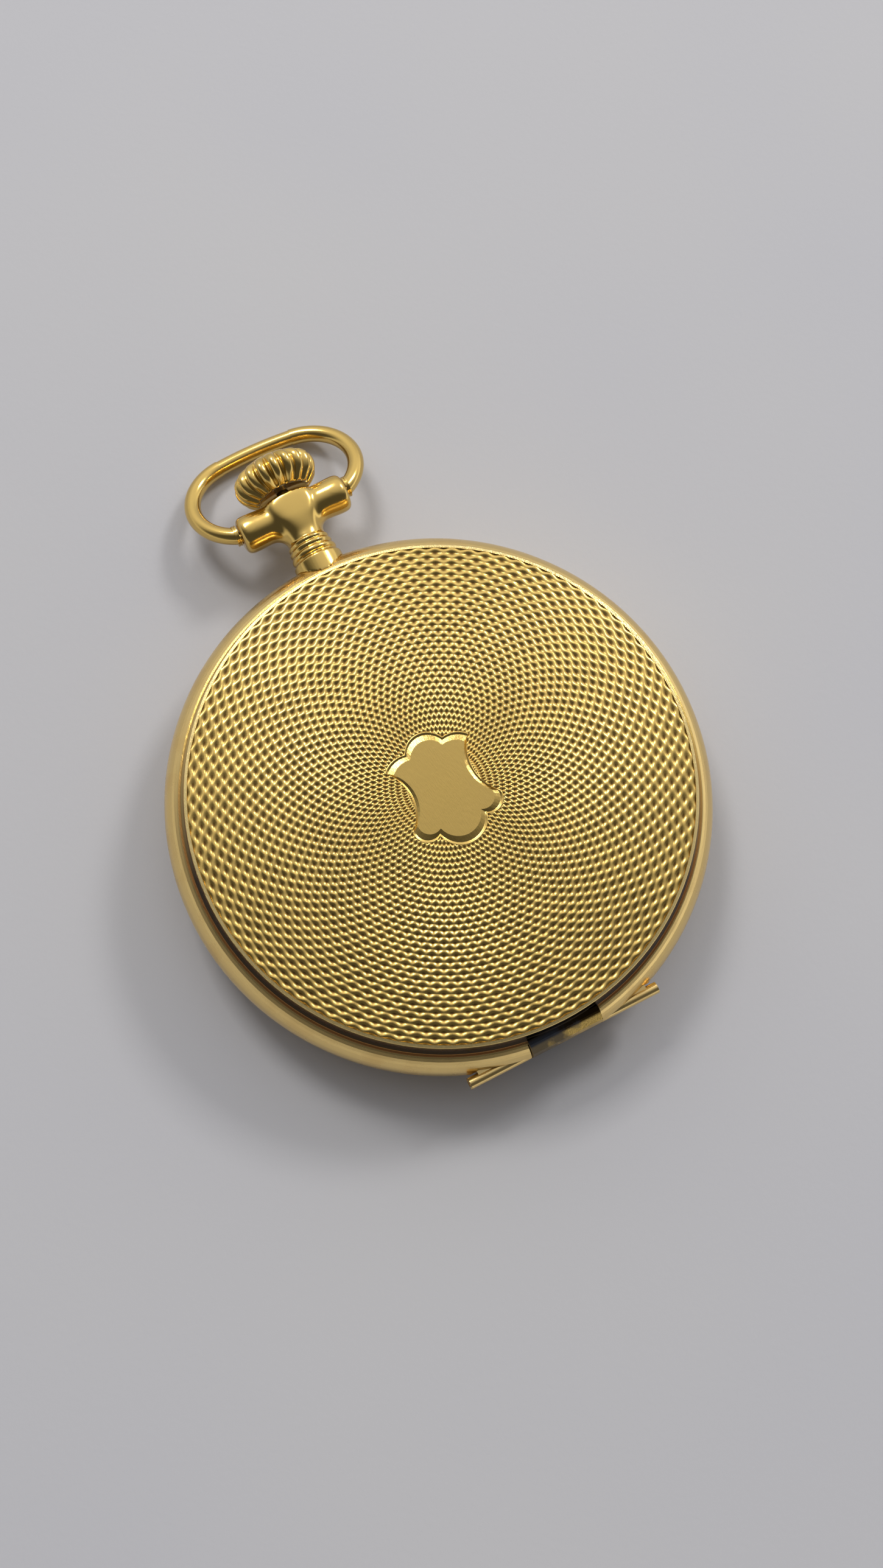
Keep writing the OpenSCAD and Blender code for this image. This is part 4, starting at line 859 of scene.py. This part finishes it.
class WATCH_OT_stage(bpy.types.Operator):
    """Paper floor, soft lamps, pale surroundings and the camera"""

    bl_idname = "watch.stage"
    bl_label = "Stage and camera"

    def execute(self, context):
        scene = context.scene
        bm = bmesh.new()
        bmesh.ops.create_grid(bm, x_segments=8, y_segments=8, size=2.5)
        bmesh.ops.translate(bm, verts=bm.verts, vec=(0, 0, -0.00002))
        mesh = bpy.data.meshes.new("paper_floor")
        bm.to_mesh(mesh)
        bm.free()
        mesh.materials.append(finish("paper_sheet"))
        floor = bpy.data.objects.new("paper_floor", mesh)
        scene.collection.objects.link(floor)

        centre = (0.005, 0, 0.005)
        add_lamp("lamp_left", (0.64, 0.04, 0.72), centre, 0.28, 0.2, 2.9, (1.0, 0.98, 0.96))
        add_lamp("lamp_right", (0.32, -0.68, 0.60), centre, 0.22, 0.16, 2.7, (1.0, 0.99, 0.98))

        world = bpy.data.worlds.new("room")
        world.use_nodes = True
        tree = world.node_tree
        tree.nodes.clear()
        way = add_node(tree, "ShaderNodeTexCoord").outputs["Generated"]
        soft = {"interpolation_type": "SMOOTHSTEP"}
        # A pale ceiling beyond the pendant that grows dim over the hinges, above a pale horizon
        ceiling = spread(tree, along(tree, way, UPWARD + (0.35,)), 0.0, 0.95, 0.1, 1.05, **soft)
        rise = add_node(tree, "ShaderNodeSeparateXYZ", {"Vector": way}).outputs["Z"]
        # The horizon is brightest towards 6 o'clock, where a window would be
        horizon = spread(tree, along(tree, way, (-0.454, -0.890, 0.0)), 0.1, 0.95, 0.78, 1.35, **soft)
        parts = {"Factor": spread(tree, rise, 0.38, 0.12, **soft), "A": ceiling, "B": horizon}
        level = add_node(tree, "ShaderNodeMix", parts).outputs["Result"]
        room = add_node(tree, "ShaderNodeBackground", {"Color": linear("#F1F1F4"), "Strength": level})
        add_node(tree, "ShaderNodeOutputWorld", {"Surface": room.outputs[0]})
        scene.world = world
        scene.view_settings.view_transform = "Standard"

        # The camera looks down at 77 degrees from the side of 9 and 12 o'clock, pendant to the upper left
        at = Vector((-0.026104, 0.023339, 0.160046))
        aim = Vector((0.000430, -0.000006, 0.00955))
        ahead = (aim - at).normalized()
        right = ahead.cross(Vector((0.87451, -0.43166, 0.22114))).normalized()
        up = right.cross(ahead)
        data = bpy.data.cameras.new("camera")
        data.sensor_width = 36.0
        data.lens = 39.577
        data.clip_start = 0.005
        data.clip_end = 20.0
        camera = bpy.data.objects.new("camera", data)
        camera.matrix_world = Matrix((right, up, -ahead)).transposed().to_4x4()
        camera.location = at
        scene.collection.objects.link(camera)
        scene.camera = camera
        return {"FINISHED"}


class WATCH_PT_sidebar(bpy.types.Panel):
    """Sizes, colours and steps of the watch"""

    bl_idname = "WATCH_PT_sidebar"
    bl_label = "Pocket Watch"
    bl_space_type = "VIEW_3D"
    bl_region_type = "UI"
    bl_category = "Pocket Watch"

    def draw(self, context):
        layout = self.layout
        for group in (context.scene.watch_sizes, context.scene.watch_colours):
            box = layout.box()
            for name in group.bl_rna.properties.keys():
                if name not in ("rna_type", "name"):
                    box.prop(group, name)
        for step in STEPS:
            layout.operator(step.bl_idname)


GROUPS = (WatchSizes, WatchColours)
STEPS = (WATCH_OT_engraving, WATCH_OT_pendant, WATCH_OT_crown, WATCH_OT_dial_print, WATCH_OT_finishes, WATCH_OT_stage)
CLASSES = GROUPS + STEPS + (WATCH_PT_sidebar,)


def register():
    for cls in CLASSES:
        bpy.utils.register_class(cls)
    bpy.types.Scene.watch_sizes = bpy.props.PointerProperty(type=WatchSizes)
    bpy.types.Scene.watch_colours = bpy.props.PointerProperty(type=WatchColours)


def unregister():
    del bpy.types.Scene.watch_colours
    del bpy.types.Scene.watch_sizes
    for cls in reversed(CLASSES):
        bpy.utils.unregister_class(cls)


def main():
    register()
    bpy.ops.watch.engraving()
    bpy.ops.watch.pendant()
    bpy.ops.watch.crown()
    bpy.ops.watch.dial_print()
    bpy.ops.watch.finishes()
    bpy.ops.watch.stage()


if __name__ == "__main__":
    main()
